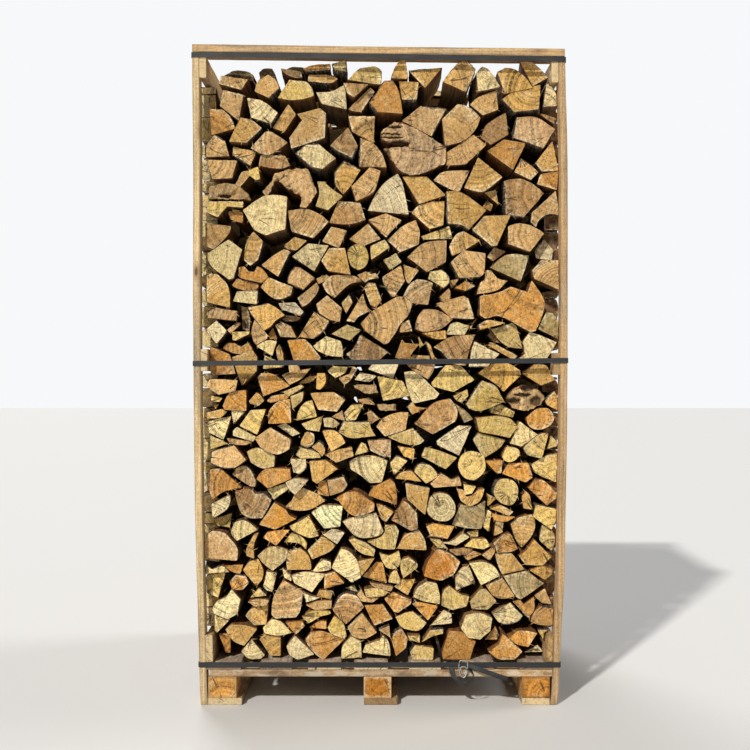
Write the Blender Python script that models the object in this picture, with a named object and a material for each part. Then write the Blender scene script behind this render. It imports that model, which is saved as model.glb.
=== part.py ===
"""A tall pallet crate full of split firewood, in metres, +Z up, front towards -Y.

A pallet carries two open side frames, each of two posts and three rails. Boards lie across the posts' tops
and three straps run round the whole crate. The logs lie front to back in three rows, one behind the other.
"""
import math
import random

import bmesh
import bpy
from mathutils import Vector
from mathutils.geometry import delaunay_2d_cdt, intersect_point_line

for old in list(bpy.data.objects):
    bpy.data.objects.remove(old, do_unlink=True)

# Driving dimensions.
HEIGHT = 2.100
DEPTH = 1.000
BOARD = 0.022
GAP = 0.0003
POST_DEPTH = 0.050
TOP_BOARD = 0.024
TOP_BOARD_DEPTH = 0.088
TOP_BOARD_DROP = 0.015
SKID_HEIGHT = 0.022
BLOCK_HEIGHT = 0.068
BLOCK_DEPTH = 0.115
CROSS_BOARD_DEPTH = 0.100
STRAP_WIDTH = 0.016
STRAP_THICKNESS = 0.0010
STRAP_CORNER = 0.004
LOG_END_SETBACK = 0.020
LOG_LENGTH = 0.315
ROW_GAP = 0.006
CORE_SETBACK = 0.085
# Set-backs of the log ends, in metres: (least, most, likeliest), the deep ones and those with their own node
LOG_SETBACKS = (0.000, 0.034, 0.010)
DEEP_SETBACKS = (0.036, 0.055)
OWN_NODE_SETBACKS = (0.000, 0.012)
SETBACK_STEP = 0.000002
# The back row's relief: the least doubled area of a log that stands out there, and the gaps' depth
BACK_RELIEF_AREA = 0.0160
BACK_CORE_SETBACK = 0.045

FRONT = -DEPTH / 2
BACK = DEPTH / 2

# Where the posts' outer faces stand at each height: they lean out under the load. (height, left x, right x)
POST_OUTER_FACES = (
    (0.000, -0.5687, 0.5623),
    (0.050, -0.5719, 0.5685),
    (0.220, -0.5775, 0.5755),
    (0.422, -0.5832, 0.5870),
    (0.626, -0.5877, 0.5909),
    (0.829, -0.5909, 0.5941),
    (1.287, -0.5941, 0.5970),
    (1.744, -0.5941, 0.5960),
    (2.080, -0.5973, 0.5877),
)

# Side rails: (name, bottom, height, drop of the right one below the left one)
RAILS = (
    ("bottom", 0.1353, 0.0870, 0.000),
    ("middle", 1.0610, 0.0700, 0.012),
    ("top", 1.9930, 0.0680, 0.015),
)

# The pallet's pieces, as (left x, right x)
SKIDS = (("left", -0.5460, -0.4390), ("middle", -0.0518, 0.0560), ("right", 0.4512, 0.5397))
BLOCK_COLUMNS = (("left", -0.5460, -0.4560), ("middle", -0.0518, 0.0366), ("right", 0.4512, 0.5397))
CROSS_BOARD_SPAN = (-0.5417, 0.5474)
DECK_BOARDS = (
    (-0.5512, -0.4416), (-0.3812, -0.2796), (-0.2287, -0.1239), (-0.0826, 0.0254),
    (0.0921, 0.1938), (0.2637, 0.3622), (0.4416, 0.5484),
)

# Straps: (name, height of the lower edge on the left, the same on the right)
STRAPS = (("bottom", 0.1205, 0.1205), ("middle", 1.0770, 1.0865), ("top", 2.0580, 2.0430))

SKID_TOP = SKID_HEIGHT
BLOCK_TOP = SKID_TOP + BLOCK_HEIGHT
CROSS_TOP = BLOCK_TOP + BOARD
DECK_TOP = CROSS_TOP + BOARD + 0.001

# The log plan is drawn in the photograph's pixels, on the plane of the log ends. The eye is level with the
# pixel EYE, so a plane a little behind the crate's front is drawn a little smaller about it.
METRES_PER_PIXEL = 0.003177
PIXEL_OF_X0 = 380
PIXEL_OF_GROUND = 705
EYE = (375, 375)
LOG_PLANE_SCALE = 1.008

# One log a line, as the corners of its sawn end. A third number on a corner says how far, in pixels, the
# side from it to the next corner bows out, where the log is round or has its bark. A line that starts with
# "-" is set back, and one that starts with a name is a log with a node of its own. A line that ends in a
# comma goes on in the next one.
TOP_COURSES = """
- 221 74, 232 68 1, 248 69 2, 253 78
218 83, 221 75, 248 78, 241 89
- 257 69, 263 65, 271 65, 274 71, 272 79, 259 79
254 91, 258 80, 268 73, 276 79, 280 88, 269 98
280 68, 301 72, 303 78, 295 78, 284 73
277 98, 289 79, 306 81 2, 314 95 3
223 90, 244 95, 239 121, 220 106
210 108, 223 109 2, 235 128, 212 135
247 98, 262 101, 278 113, 271 124, 251 118
229 142, 240 117, 252 120, 262 128, 247 143
250 148, 265 131, 271 131, 288 142, 271 154, 262 154
272 127, 288 103, 296 113, 284 131
289 138, 302 120, 297 114, 320 108, 326 113, 325 138, 291 149
206 157, 207 145, 215 134, 225 141, 229 156
302 68, 313 64, 330 63, 330 69, 305 70
308 73, 331 73, 338 77, 331 81, 307 80
331 63, 346 59, 347 72, 335 70
347 80, 358 69 1, 375 66 1, 382 71, 381 84
315 90, 332 89, 345 85, 347 108, 321 102
343 83, 369 84, 354 98, 347 93
348 108, 370 86, 375 90, 361 111, 352 110
369 103, 384 80, 393 80, 399 91, 403 114, 377 112
391 78, 396 65, 402 58, 406 60, 408 79
399 81, 419 82, 417 100, 402 100
408 70 7, 443 67, 425 88
348 115, 375 115, 374 143, 352 131
330 146, 348 127, 358 146, 352 158, 338 152
359 166, 360 137, 374 143, 382 153, 387 167
402 120, 421 105, 447 108, 432 136
grey_rotten_log 381 132, 394 122, 411 126, 446 147, 446 163, 415 175, 400 171, 391 158, 384 149,
    411 146, 382 140
442 82, 457 64 1, 467 62, 476 69, 466 92
476 73, 482 66, 490 71, 500 87, 478 92
497 72, 505 67, 514 68 2, 533 88, 505 94
520 60, 533 61 1, 549 77, 533 86
543 107, 546 83, 551 83 2, 559 106
502 99, 516 90, 541 84, 539 109, 514 112
470 104, 479 96, 497 89, 499 109, 483 115
442 119, 458 103, 469 106, 481 117 3, 463 141, 445 146
481 138, 486 125, 506 112, 509 134, 491 145
517 116, 536 116 1, 556 128, 544 148, 513 137
446 152, 474 134, 487 144 4, 466 164, 446 165
487 151, 504 139, 526 143, 513 170
553 140, 559 171, 542 172, 535 163
"""

UPPER_COURSES = """
207 159, 237 160, 232 178, 213 179
232 145, 256 151, 250 165, 231 154
260 154, 285 155, 290 165, 281 168, 258 165
295 153, 306 144, 319 144, 336 158, 322 169, 312 167
234 184, 241 170, 248 169, 249 174, 238 187
209 199, 210 186, 222 183 3, 242 190 2, 251 200, 230 199
207 212, 209 201, 243 201, 243 207, 227 206, 218 217
- 226 210, 235 208, 242 211, 242 222, 229 218
206 222, 231 226, 228 235, 214 249, 206 246
pale_wedge_log 243 210, 262 197 2, 287 197, 285 229, 266 235, 254 230
287 210, 305 208 2, 329 221, 313 238, 291 231
262 191, 271 181, 274 173, 292 168, 308 168, 315 186 2, 313 198, 306 208, 300 207, 301 196, 288 189,
    279 181, 274 181, 270 192, 266 196
283 245, 294 236, 307 240, 296 250, 287 249
246 243, 253 231, 263 241, 258 260, 250 266, 244 260
207 254, 228 239, 242 249, 233 278, 228 279, 212 266
344 160, 361 169, 351 185, 343 194, 335 184, 334 172
351 186, 370 166, 381 170, 377 184 2, 368 196, 356 201
317 181, 324 181, 330 187, 343 196, 328 210, 315 206, 319 193
338 200, 360 202, 366 219 3, 329 222
367 210, 376 192 2, 398 172, 403 182, 409 214
402 176, 427 176, 446 195, 419 204
411 212, 420 204, 445 200, 444 225, 430 229
368 220, 386 213, 402 220, 386 238
387 240, 403 225, 416 219, 420 231, 419 244, 400 252
322 241, 331 226, 347 230, 339 248
349 238, 368 222, 381 238, 362 246
yellow_round_log 348 252 1, 354 245 1, 363 245 1, 368 254 1, 367 264 1, 359 270 1, 351 265 1
370 246, 385 239, 390 247, 381 254, 371 260
291 256, 308 243, 329 245, 314 271
329 248, 345 248, 351 275, 328 271, 321 261
433 180, 442 172 1, 470 170, 460 191, 455 191
464 188, 478 157, 503 177, 485 191 1, 472 191
446 191, 461 192, 487 210, 469 230, 462 226, 447 224
484 216, 511 215, 497 246, 491 246, 472 230
504 180, 520 178 2, 545 193, 524 217, 506 214
514 172, 521 158, 539 172, 531 180
537 184, 540 174, 559 171, 557 190
532 213, 556 190, 560 215, 549 214, 539 220, 536 227, 531 222
- 485 191, 497 188, 500 204
508 226, 518 223, 532 225, 545 233, 530 252, 508 244
- 546 237, 556 248, 554 259, 538 257, 536 249
452 256, 449 246, 456 234, 464 230, 481 240, 463 251
421 236, 450 225, 453 238, 424 239
261 265, 271 257, 284 249, 290 251, 278 277
"""

MIDDLE_COURSES = """
207 276, 211 273, 218 274, 228 286, 230 308, 208 302
238 267, 244 266, 248 271, 254 272, 257 266, 262 268, 269 277, 262 283, 250 281, 239 278
231 285, 236 278, 248 281, 259 284, 257 288, 248 290, 236 288
232 301, 236 291, 257 289, 256 304
287 283, 289 274, 295 267 1, 304 270, 315 278, 303 290
260 287, 268 277, 293 287, 291 295, 282 299, 273 298, 264 291
297 298, 317 282, 319 287 1, 313 299 1, 302 307, 299 303
278 303, 295 302, 304 312, 300 316, 281 309
247 307, 268 303, 277 308, 285 315, 275 321, 271 326, 263 331, 251 315
- 240 305, 246 307, 249 318, 248 331, 241 329
207 313, 216 307, 238 311, 237 321, 225 320, 208 318
206 330, 217 320, 227 331, 217 344
232 332, 250 331, 249 334, 235 341, 232 340
251 330, 254 319, 268 335, 267 339, 256 345, 253 341
222 348, 227 343, 234 343, 240 347, 248 342, 253 350, 241 354, 231 353
255 346, 267 340, 277 341, 272 356
275 325, 282 322, 291 326, 297 338, 280 337
298 337, 314 311, 320 315, 330 321, 322 333, 313 339
276 350, 279 344, 282 352, 284 366, 279 366
287 340, 305 339, 312 346, 321 358, 318 362, 294 362
210 346, 229 354, 232 362, 235 374, 211 375
231 357, 252 350, 257 357, 256 371, 241 386, 237 374
264 355, 275 360, 283 367, 262 369
288 365, 298 365, 300 370, 311 368, 302 378, 289 385, 281 375, 289 372
316 304, 327 295, 342 308, 340 322, 330 320, 319 313
322 284, 331 276 1, 355 276, 363 281, 350 284, 334 298, 326 292
357 275, 366 271, 371 274, 376 273, 379 278, 369 280, 365 283
346 321, 357 302, 363 293, 366 303, 370 311, 358 317, 354 322
364 288, 368 283, 375 283, 382 300, 376 308, 370 305
383 260, 396 253, 402 262, 390 270
382 277, 401 265, 405 281, 394 297, 391 296, 384 285
403 264, 419 270, 409 284, 406 281
407 257, 424 243, 447 240, 446 262, 436 268, 427 272
403 296, 410 284, 417 279 1, 433 283, 428 305, 411 303
broad_middle_log 361 324, 372 312, 392 300 2, 406 298, 412 304, 408 315, 400 324, 396 331, 388 343,
    384 344, 366 331
415 329, 417 318, 423 309, 438 310, 453 319, 441 329, 424 332
331 334, 340 329, 347 324, 361 330, 350 341
313 346, 326 336, 341 341 1, 343 357, 330 356, 318 351
345 354, 352 349, 360 334, 389 352, 376 361, 352 361
395 358, 402 339, 405 343, 420 344, 412 353, 410 359
433 347, 450 337, 476 334, 473 341, 470 348, 466 366, 452 364, 440 351
422 333, 446 330, 447 339, 435 339
430 271, 441 269 1, 449 276 1, 449 284, 444 288, 436 284, 428 279
454 288, 466 280, 476 286, 466 291
450 262, 464 250, 486 253, 484 273, 481 277, 459 278
477 294, 481 282, 485 279, 486 269, 492 270, 499 278, 509 280, 498 290
490 267, 508 254, 531 254, 522 281, 502 273
- 488 256, 495 246, 508 250, 494 260
532 270, 541 260, 559 260, 559 290, 534 279
broad_amber_log 480 296, 498 293, 511 287, 528 293, 532 281, 540 293 1, 544 305, 541 318, 535 331,
    529 331, 500 316, 485 318, 480 315
538 329, 546 312, 553 313, 560 322, 560 340, 546 333
436 303, 464 295, 469 298, 475 319, 451 318
446 333, 450 324, 457 322, 470 326, 465 335, 447 335
478 325, 487 320, 506 323, 480 330
491 329, 513 322, 517 326, 524 349, 508 346, 499 339
488 345, 492 342, 518 356, 514 360
471 349, 474 341, 500 354, 487 367, 468 367
519 359, 525 354, 523 341, 530 331, 558 342, 547 360
207 386, 211 379, 238 380, 236 391, 219 395
222 406, 226 397 1, 235 391, 246 390, 246 411, 224 410
256 377, 260 373, 272 374, 281 380, 290 386, 262 397
248 401, 256 392, 260 395, 264 401, 258 406, 249 404
266 401, 272 396, 285 394, 289 398, 270 403
290 396, 304 391, 302 401, 292 410
269 411, 277 402 1, 290 399, 291 423, 268 424
205 413, 222 409, 227 412, 221 418, 206 419
208 421, 231 416, 223 440, 208 432
239 426, 250 410, 266 409, 257 435
232 431, 236 427, 256 437, 253 442, 232 436
226 438, 252 442, 246 445, 229 444
hexagon_log 255 438, 270 428, 290 440, 289 449 1, 276 454, 262 448
276 426, 285 423, 300 434, 292 437
210 435, 228 444, 218 448, 210 450
298 411, 305 402, 312 400, 317 417, 296 421
301 424, 318 418, 323 416, 319 432, 306 430
301 440, 306 432 1, 314 434 1, 313 444 1, 306 448, 300 445
311 447, 319 441 1, 325 448 1, 322 457, 318 452
295 455, 300 447, 312 450, 318 453, 321 458, 300 459
310 393, 334 392, 345 400, 337 412, 318 410
317 373, 325 373, 326 381 1, 320 390, 316 389
327 371, 333 366, 348 367, 345 373, 335 378
338 378, 349 374, 353 366, 358 368, 350 381, 344 385
354 380, 360 372, 377 376, 370 382
352 385, 376 384, 378 393, 368 394, 355 388
368 369, 375 361, 400 361, 393 379, 384 376
377 376, 403 381, 410 396, 383 401, 380 390
404 372, 413 371 1, 428 382, 440 394, 436 399, 413 404, 408 392
- 405 363, 437 363, 434 372, 429 380, 414 371
344 413, 351 405, 364 404, 356 420, 346 421
323 418, 332 418, 340 424, 334 428, 324 427
338 432, 343 421, 369 422, 372 430, 376 436, 350 438
322 431, 332 430, 340 434, 346 443, 331 452
325 455, 332 451, 352 447, 354 456, 336 463
354 456, 361 442, 366 444, 369 452
367 440, 391 440, 391 458, 383 457, 370 451
376 427, 384 418, 396 413, 409 412, 406 430, 385 437
387 437, 413 428, 425 441, 419 445, 404 444
397 446, 415 449, 414 460, 404 457
408 407, 412 402, 416 407, 428 408, 412 415
round_brown_log 415 424, 429 408, 437 402, 450 399 1, 457 410 1, 455 421, 433 434
376 404, 396 404, 397 411, 380 411
431 383, 446 365, 461 365, 475 380, 454 392, 433 387
478 373, 492 364, 508 363, 521 370, 522 375, 504 392, 496 384
523 374, 535 364, 547 365, 556 380, 541 386
466 404, 482 380, 496 387, 505 402, 480 411, 469 409
453 396, 468 389, 469 396, 462 403, 457 401
506 398, 512 390, 524 384, 540 391, 545 398, 541 405, 526 411, 512 408
545 401, 555 391, 559 398, 559 411, 548 405
490 408, 502 404, 516 412, 514 418, 500 415, 491 413
526 418, 535 410 1, 548 408 1, 555 417 1, 550 426 1, 538 430 1, 529 426
476 418, 497 416, 511 419, 518 427, 510 438, 492 434, 479 432
473 440, 479 433, 490 435, 507 440, 500 449, 484 459
520 421, 539 435, 522 447, 510 444
523 448, 540 434, 549 433, 542 459, 536 458, 527 455
502 457, 506 447 1, 518 449 1, 520 455 1, 512 462 1, 505 461
436 441, 459 425, 472 426, 459 456, 437 445
- 456 404, 466 410, 475 420, 465 424
"""

LOWER_COURSES = """
212 452, 218 449, 234 445, 246 460, 234 468, 222 468, 211 463
246 452, 255 448, 264 450, 275 456, 274 467, 262 469, 250 463
231 475, 236 468 1, 246 466 1, 254 477 1, 255 488, 251 488
209 470, 220 468, 242 488, 224 492, 213 500, 208 485
256 479, 262 471 1, 274 468, 290 469, 291 479, 268 489
290 459, 306 459, 307 467 1, 299 475, 293 473
309 461, 326 460, 338 469, 322 481, 317 484, 312 481
285 482, 296 478, 309 480, 301 489, 295 495, 289 489
266 490, 285 484, 290 489, 273 501
brown_grained_log 235 492, 245 489, 251 490, 255 494, 264 494, 271 500, 268 508, 262 518, 248 517, 240 510
284 508, 291 501, 294 495, 302 488, 318 495, 325 502, 308 511, 292 511
212 504, 230 495, 230 502 1, 224 512, 213 519
- 212 521, 230 515, 228 530, 214 528
231 530, 235 522, 243 520, 250 523, 258 530, 237 541, 232 536
259 525, 274 502, 286 510, 289 515, 297 519, 275 530
263 538, 267 532, 280 530, 290 530, 276 546
289 526, 309 515, 319 536, 307 538, 291 530
283 543, 287 538, 291 533, 300 536 1, 307 544, 306 550, 299 544, 290 543
knotted_log 206 558, 208 537, 213 531, 224 533, 232 541 1, 238 551, 237 560
254 534, 259 532, 254 545, 254 559, 246 556, 246 549
256 557, 266 549, 277 547, 288 551, 285 561, 272 572, 263 565
288 551, 300 548, 308 555, 311 564, 311 570, 287 570, 286 561
322 535, 332 529 1, 345 533, 337 545, 326 538
307 551, 321 537, 325 538, 336 546, 330 552, 312 560
317 495, 318 483, 326 480, 329 497
327 480, 344 476, 348 485, 344 491, 330 496
349 462, 358 457, 372 456, 388 461, 382 483, 370 484, 360 476, 350 470
390 463, 397 456, 408 461, 394 476
395 479, 400 473 1, 412 471, 422 482
414 472, 417 466 1, 425 464 1, 433 468 1, 438 477, 426 484
405 483, 430 488, 425 515, 407 499
pale_round_log 427 510, 430 498 1, 438 493 1, 448 495 1, 455 505 1, 453 516 1, 445 521 1, 433 518 1
391 520, 403 500, 408 503, 417 513, 418 529, 411 531
368 496, 373 488, 390 479, 395 484 1, 397 506, 382 501
336 498, 346 492 1, 358 492, 375 504, 374 511 1, 355 517, 348 513
376 504, 382 505, 394 512, 386 523, 381 519
342 522, 352 518, 376 513, 384 532, 380 536, 366 539 1, 354 536
311 513, 322 505, 343 506, 340 527, 324 529
348 540, 354 538, 366 543, 376 550, 374 557, 362 554, 355 549
367 542, 381 537, 385 532, 385 525, 396 526, 399 531, 395 550, 380 549
397 549, 404 535, 419 530, 425 540, 427 551
426 527, 434 524, 455 527, 448 540, 430 537
331 568, 341 548, 349 551, 358 562, 361 578, 352 583
379 553, 389 556, 399 551, 401 562 1, 396 569 1, 386 568 1
358 561, 375 558, 361 577
401 560, 409 557, 418 564, 418 568, 403 579, 400 568
421 457, 425 447, 437 450, 458 458, 446 470, 430 462
458 465, 461 456 1, 470 451 1, 482 454 1, 486 463 1, 484 473 1, 474 481 1, 463 477 1
485 461, 503 460, 502 474, 496 473
502 474, 509 463, 529 463, 534 478, 526 483, 514 478
532 465, 545 457, 560 453, 560 484, 546 479, 535 473
430 484, 441 473, 452 480, 460 477, 462 486, 434 488
457 489, 463 490, 466 497, 472 496, 479 489, 485 489, 482 499 1, 473 506 1, 464 504 1, 459 497
small_round_log 494 490, 498 481 1, 507 479 1, 515 483 1, 518 492 1, 514 503 1, 507 505 1, 498 500 1
522 497, 526 491, 530 495, 533 510, 524 509
528 488, 535 479, 545 481, 560 497, 547 506
533 517, 536 505, 556 509, 558 517, 552 530
490 509, 501 505, 514 512, 509 516
452 526, 461 505, 474 507, 486 501, 485 520, 482 530, 466 529
494 537, 496 521, 504 523, 503 533
511 524, 520 518, 533 515, 536 522 1, 534 534 1, 522 549, 516 540
540 541, 543 525, 552 530, 557 540, 553 553
441 543, 452 541, 463 533, 470 537, 456 546
464 547, 472 539, 486 539, 491 546, 484 550
448 551, 460 549, 474 549, 472 555, 457 557
482 556, 495 546, 496 552, 490 562
493 543, 503 535 1, 511 534, 518 549, 510 552, 497 553
518 556, 527 549, 534 539, 552 557, 543 566, 525 565
495 554, 512 553, 518 560, 525 570, 502 575, 498 566
orange_log 424 576, 428 562, 437 549, 449 553, 460 562, 454 573 1, 440 580
"""

BOTTOM_COURSES = """
206 564, 213 569, 223 565, 230 572, 207 574
223 566, 243 565, 240 575, 232 573
242 571, 249 562, 258 559, 263 571, 262 580, 256 588
205 580, 209 575, 225 574, 218 599, 206 594
229 582, 235 575, 246 576, 249 583, 243 590, 232 590
212 610, 217 602, 225 598, 231 590, 240 600, 237 615, 227 620, 214 615
262 587, 266 572, 277 573, 272 593, 266 592
247 602, 256 599, 269 600, 267 605, 255 607
244 617, 250 610, 268 605, 266 626, 253 627
214 616, 229 621, 217 634, 214 634
225 630, 231 624, 248 626, 257 629, 244 646, 234 642
- 217 636, 229 636, 229 656, 224 656
241 652, 251 639, 265 656, 260 661, 248 659
258 641, 263 636, 280 638, 280 658, 270 658
262 629, 271 620, 280 622, 292 634, 280 637, 264 635
285 622, 302 621, 305 626, 296 635
271 615, 273 598, 283 580, 303 592, 300 612, 296 618, 275 619
291 576, 304 572, 326 574, 312 593, 294 584
312 572, 321 559, 331 562, 331 570, 322 572
305 605, 318 601, 332 600, 332 609, 315 610
304 615, 311 611, 330 611, 331 614, 318 617
304 641, 311 633, 322 632, 345 640, 323 661, 314 654
286 646, 295 635, 315 654, 298 660, 289 655
316 597, 319 590, 333 591, 331 600
327 628, 334 616, 343 623, 347 637, 344 640, 330 634
324 574, 335 571, 345 583, 324 589
weathered_log 333 609, 337 600 1, 346 593 1, 358 597, 364 607, 346 624, 336 614
356 596, 361 589, 365 597, 380 598, 373 603, 361 602
364 589, 378 588, 389 592, 384 596, 366 597
362 578, 376 563, 383 564, 387 585
388 583, 391 574, 396 569, 401 581, 399 585
394 588, 402 581, 416 580, 408 597
384 599, 393 592, 412 600, 411 604, 398 613, 394 612
412 604, 416 602, 439 606, 428 621
413 597, 417 588, 427 581, 437 583, 440 595, 440 604, 422 601
364 606, 383 605, 393 620, 374 627
347 627, 362 613, 377 633, 366 639 1, 352 637
341 659, 342 647, 351 636, 361 641, 362 658
362 653, 365 645, 380 640, 383 635, 389 642, 391 657
391 640, 396 632, 402 630, 408 640, 406 650, 396 658, 393 650
395 618, 406 613, 413 612, 427 624, 421 631 1, 410 632 1, 400 627
421 643, 430 630, 444 629, 444 634, 432 637
410 652, 415 645, 434 648, 433 660, 412 660
431 627, 444 611, 452 615, 453 625
441 606, 443 592, 449 586, 460 594, 470 597, 467 607, 453 611
456 592, 455 576, 462 568, 469 566, 476 583
469 563, 484 562, 495 567, 500 576, 481 585
485 585, 502 577, 515 596, 504 599 1, 492 595
470 602, 480 590, 486 589, 497 602, 488 611, 472 610
503 576, 527 571, 545 584, 521 600, 516 597
529 570, 542 566, 553 569, 552 574, 545 580
535 597, 546 589, 553 606, 543 605
512 602, 520 600, 524 605, 535 597, 535 610, 529 619
492 614, 511 603, 524 617, 519 623, 507 626, 500 624
530 622, 534 612, 541 606, 557 608, 557 626, 541 625
pale_bottom_log 461 628, 466 615, 480 613, 492 618, 490 630, 480 639, 468 637
485 641, 496 627, 499 633, 498 641
442 654, 449 631, 462 632, 476 642, 470 661, 443 661
488 652, 498 645, 503 634, 510 641, 523 652, 515 660, 500 661
508 639, 518 631 1, 538 634, 529 648, 519 646
"""

# The line below which the gaps between the logs are filled by the logs behind them, left to right.
PILE_TOP = (
    (208, 94), (220, 80), (232, 74), (250, 76), (262, 71), (275, 76), (284, 68), (302, 66), (330, 67),
    (345, 64), (358, 73), (380, 74), (398, 66), (410, 76), (425, 72), (443, 74), (457, 68), (472, 68),
    (486, 72), (497, 80), (510, 72), (530, 68), (546, 82), (556, 96),
)
PILE_BOTTOM = ((556, 655), (546, 656), (300, 655), (216, 654), (208, 628))

WOOD_WHITE = (0.62, 0.47, 0.28)
WOOD_GREY = (0.42, 0.33, 0.23)
WOOD_AMBER = (0.58, 0.36, 0.13)
STRAP_BLACK = (0.030, 0.032, 0.036)
WIRE_GREY = (0.35, 0.35, 0.36)

crate = bpy.data.objects.new("crate_of_firewood", None)
bpy.context.collection.objects.link(crate)


def add_piece(name, build, colour, roughness=0.8, metallic=0.0):
    """Makes a mesh object from a bmesh, with its own material, and hangs it on the crate."""
    build.normal_update()
    mesh = bpy.data.meshes.new(name)
    build.to_mesh(mesh)
    build.free()
    piece = bpy.data.objects.new(name, mesh)
    bpy.context.collection.objects.link(piece)
    piece.parent = crate
    material = bpy.data.materials.new(name)
    material.use_nodes = True
    surface = material.node_tree.nodes["Principled BSDF"]
    surface.inputs["Base Color"].default_value = (*colour, 1.0)
    surface.inputs["Roughness"].default_value = roughness
    surface.inputs["Metallic"].default_value = metallic
    mesh.materials.append(material)
    return piece


def add_box(name, low, high, colour=WOOD_WHITE):
    """A sawn board or block between two corners."""
    build = bmesh.new()
    bmesh.ops.create_cube(build, size=1.0)
    middle = (Vector(low) + Vector(high)) / 2
    size = Vector(high) - Vector(low)
    bmesh.ops.scale(build, vec=size, verts=build.verts)
    bmesh.ops.translate(build, vec=middle, verts=build.verts)
    return add_piece(name, build, colour)


def add_loft(name, sections, colour):
    """A closed solid through sections that are lists of the same number of points, in order."""
    build = bmesh.new()
    rings = [[build.verts.new(point) for point in section] for section in sections]
    count = len(rings[0])
    for lower, upper in zip(rings, rings[1:]):
        for i in range(count):
            j = (i + 1) % count
            build.faces.new((lower[i], lower[j], upper[j], upper[i]))
    build.faces.new(reversed(rings[0]))
    build.faces.new(rings[-1])
    bmesh.ops.recalc_face_normals(build, faces=build.faces)
    return add_piece(name, build, colour)


def outer_face(side, height):
    """The x of the outer face of the left (-1) or right (1) posts at a height."""
    column = 1 if side < 0 else 2
    for low, high in zip(POST_OUTER_FACES, POST_OUTER_FACES[1:]):
        if height <= high[0]:
            share = (height - low[0]) / (high[0] - low[0])
            return low[column] + (high[column] - low[column]) * share
    return POST_OUTER_FACES[-1][column]


def top_board_underside(x):
    """The height of the top boards' undersides, which fall a little to the right."""
    left = POST_OUTER_FACES[-1][1]
    right = POST_OUTER_FACES[-1][2]
    share = (x - left) / (right - left)
    return HEIGHT - TOP_BOARD - TOP_BOARD_DROP * share


def add_post(name, side, near, far):
    """One bowed side post, a board on edge, from the ground to the top board."""
    sections = []
    heights = [station[0] for station in POST_OUTER_FACES[:-1]] + [None]
    for height in heights:
        outer = outer_face(side, 2.070 if height is None else height)
        inner = outer - side * BOARD
        section = []
        for x, y in ((outer, near), (inner, near), (inner, far), (outer, far)):
            z = top_board_underside(x) - GAP if height is None else height
            section.append((x, y, z))
        sections.append(section)
    add_loft(name, sections, WOOD_GREY)


def add_pallet():
    rows = (
        ("front", FRONT, FRONT + BLOCK_DEPTH, FRONT, FRONT + CROSS_BOARD_DEPTH),
        ("middle", -BLOCK_DEPTH / 2, BLOCK_DEPTH / 2, -CROSS_BOARD_DEPTH / 2, CROSS_BOARD_DEPTH / 2),
        ("back", BACK - BLOCK_DEPTH, BACK, BACK - CROSS_BOARD_DEPTH, BACK),
    )
    for side, left, right in SKIDS:
        add_box(f"skid_board_{side}", (left, FRONT, 0), (right, BACK, SKID_TOP - GAP), WOOD_GREY)
    for row, block_near, block_far, board_near, board_far in rows:
        for side, left, right in BLOCK_COLUMNS:
            add_box(
                f"block_{row}_{side}",
                (left, block_near, SKID_TOP),
                (right, block_far, BLOCK_TOP - GAP),
                WOOD_GREY,
            )
        add_box(
            f"cross_board_{row}",
            (CROSS_BOARD_SPAN[0], board_near, BLOCK_TOP),
            (CROSS_BOARD_SPAN[1], board_far, CROSS_TOP - GAP),
            WOOD_GREY,
        )
    for index, (left, right) in enumerate(DECK_BOARDS):
        add_box(f"deck_board_{index + 1}", (left, FRONT, CROSS_TOP), (right, BACK, DECK_TOP - GAP), WOOD_GREY)


def add_side_frames():
    for word, side in (("left", -1), ("right", 1)):
        add_post(f"front_post_{word}", side, FRONT, FRONT + POST_DEPTH)
        add_post(f"back_post_{word}", side, BACK - POST_DEPTH, BACK)
        for height_word, bottom, height, drop in RAILS:
            low = bottom - (drop if side > 0 else 0)
            top = low + height
            inner = [outer_face(side, z) - side * (BOARD + GAP) for z in (low, top)]
            section = (
                (inner[0], low), (inner[0] - side * BOARD, low),
                (inner[1] - side * BOARD, top), (inner[1], top),
            )
            add_loft(
                f"{height_word}_rail_{word}",
                [[(x, y, z) for x, z in section] for y in (FRONT + 0.001, BACK - 0.001)],
                WOOD_WHITE,
            )


def add_top_boards():
    left = outer_face(-1, 2.080)
    right = outer_face(1, 2.080)
    for word, near in (("front", FRONT), ("back", BACK - TOP_BOARD_DEPTH)):
        far = near + TOP_BOARD_DEPTH
        sections = []
        for x in (left, right):
            low = top_board_underside(x)
            top = low + TOP_BOARD
            sections.append([(x, near, low), (x, far, low), (x, far, top), (x, near, top)])
        add_loft(f"top_board_{word}", sections, WOOD_WHITE)


def strap_path(low, high, clearance):
    """The points of a strap's route round the posts, seen from above, with rounded corners."""
    left = min(outer_face(-1, z) for z in (low, high)) - clearance
    right = max(outer_face(1, z) for z in (low, high)) + clearance
    near = FRONT - clearance
    far = BACK + clearance
    radius = STRAP_CORNER + clearance
    corners = (
        (left + radius, near + radius, 180), (right - radius, near + radius, 270),
        (right - radius, far - radius, 0), (left + radius, far - radius, 90),
    )
    points = []
    for x, y, start in corners:
        for step in range(4):
            angle = math.radians(start + step * 30)
            points.append((x + radius * math.cos(angle), y + radius * math.sin(angle)))
    return points


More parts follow.
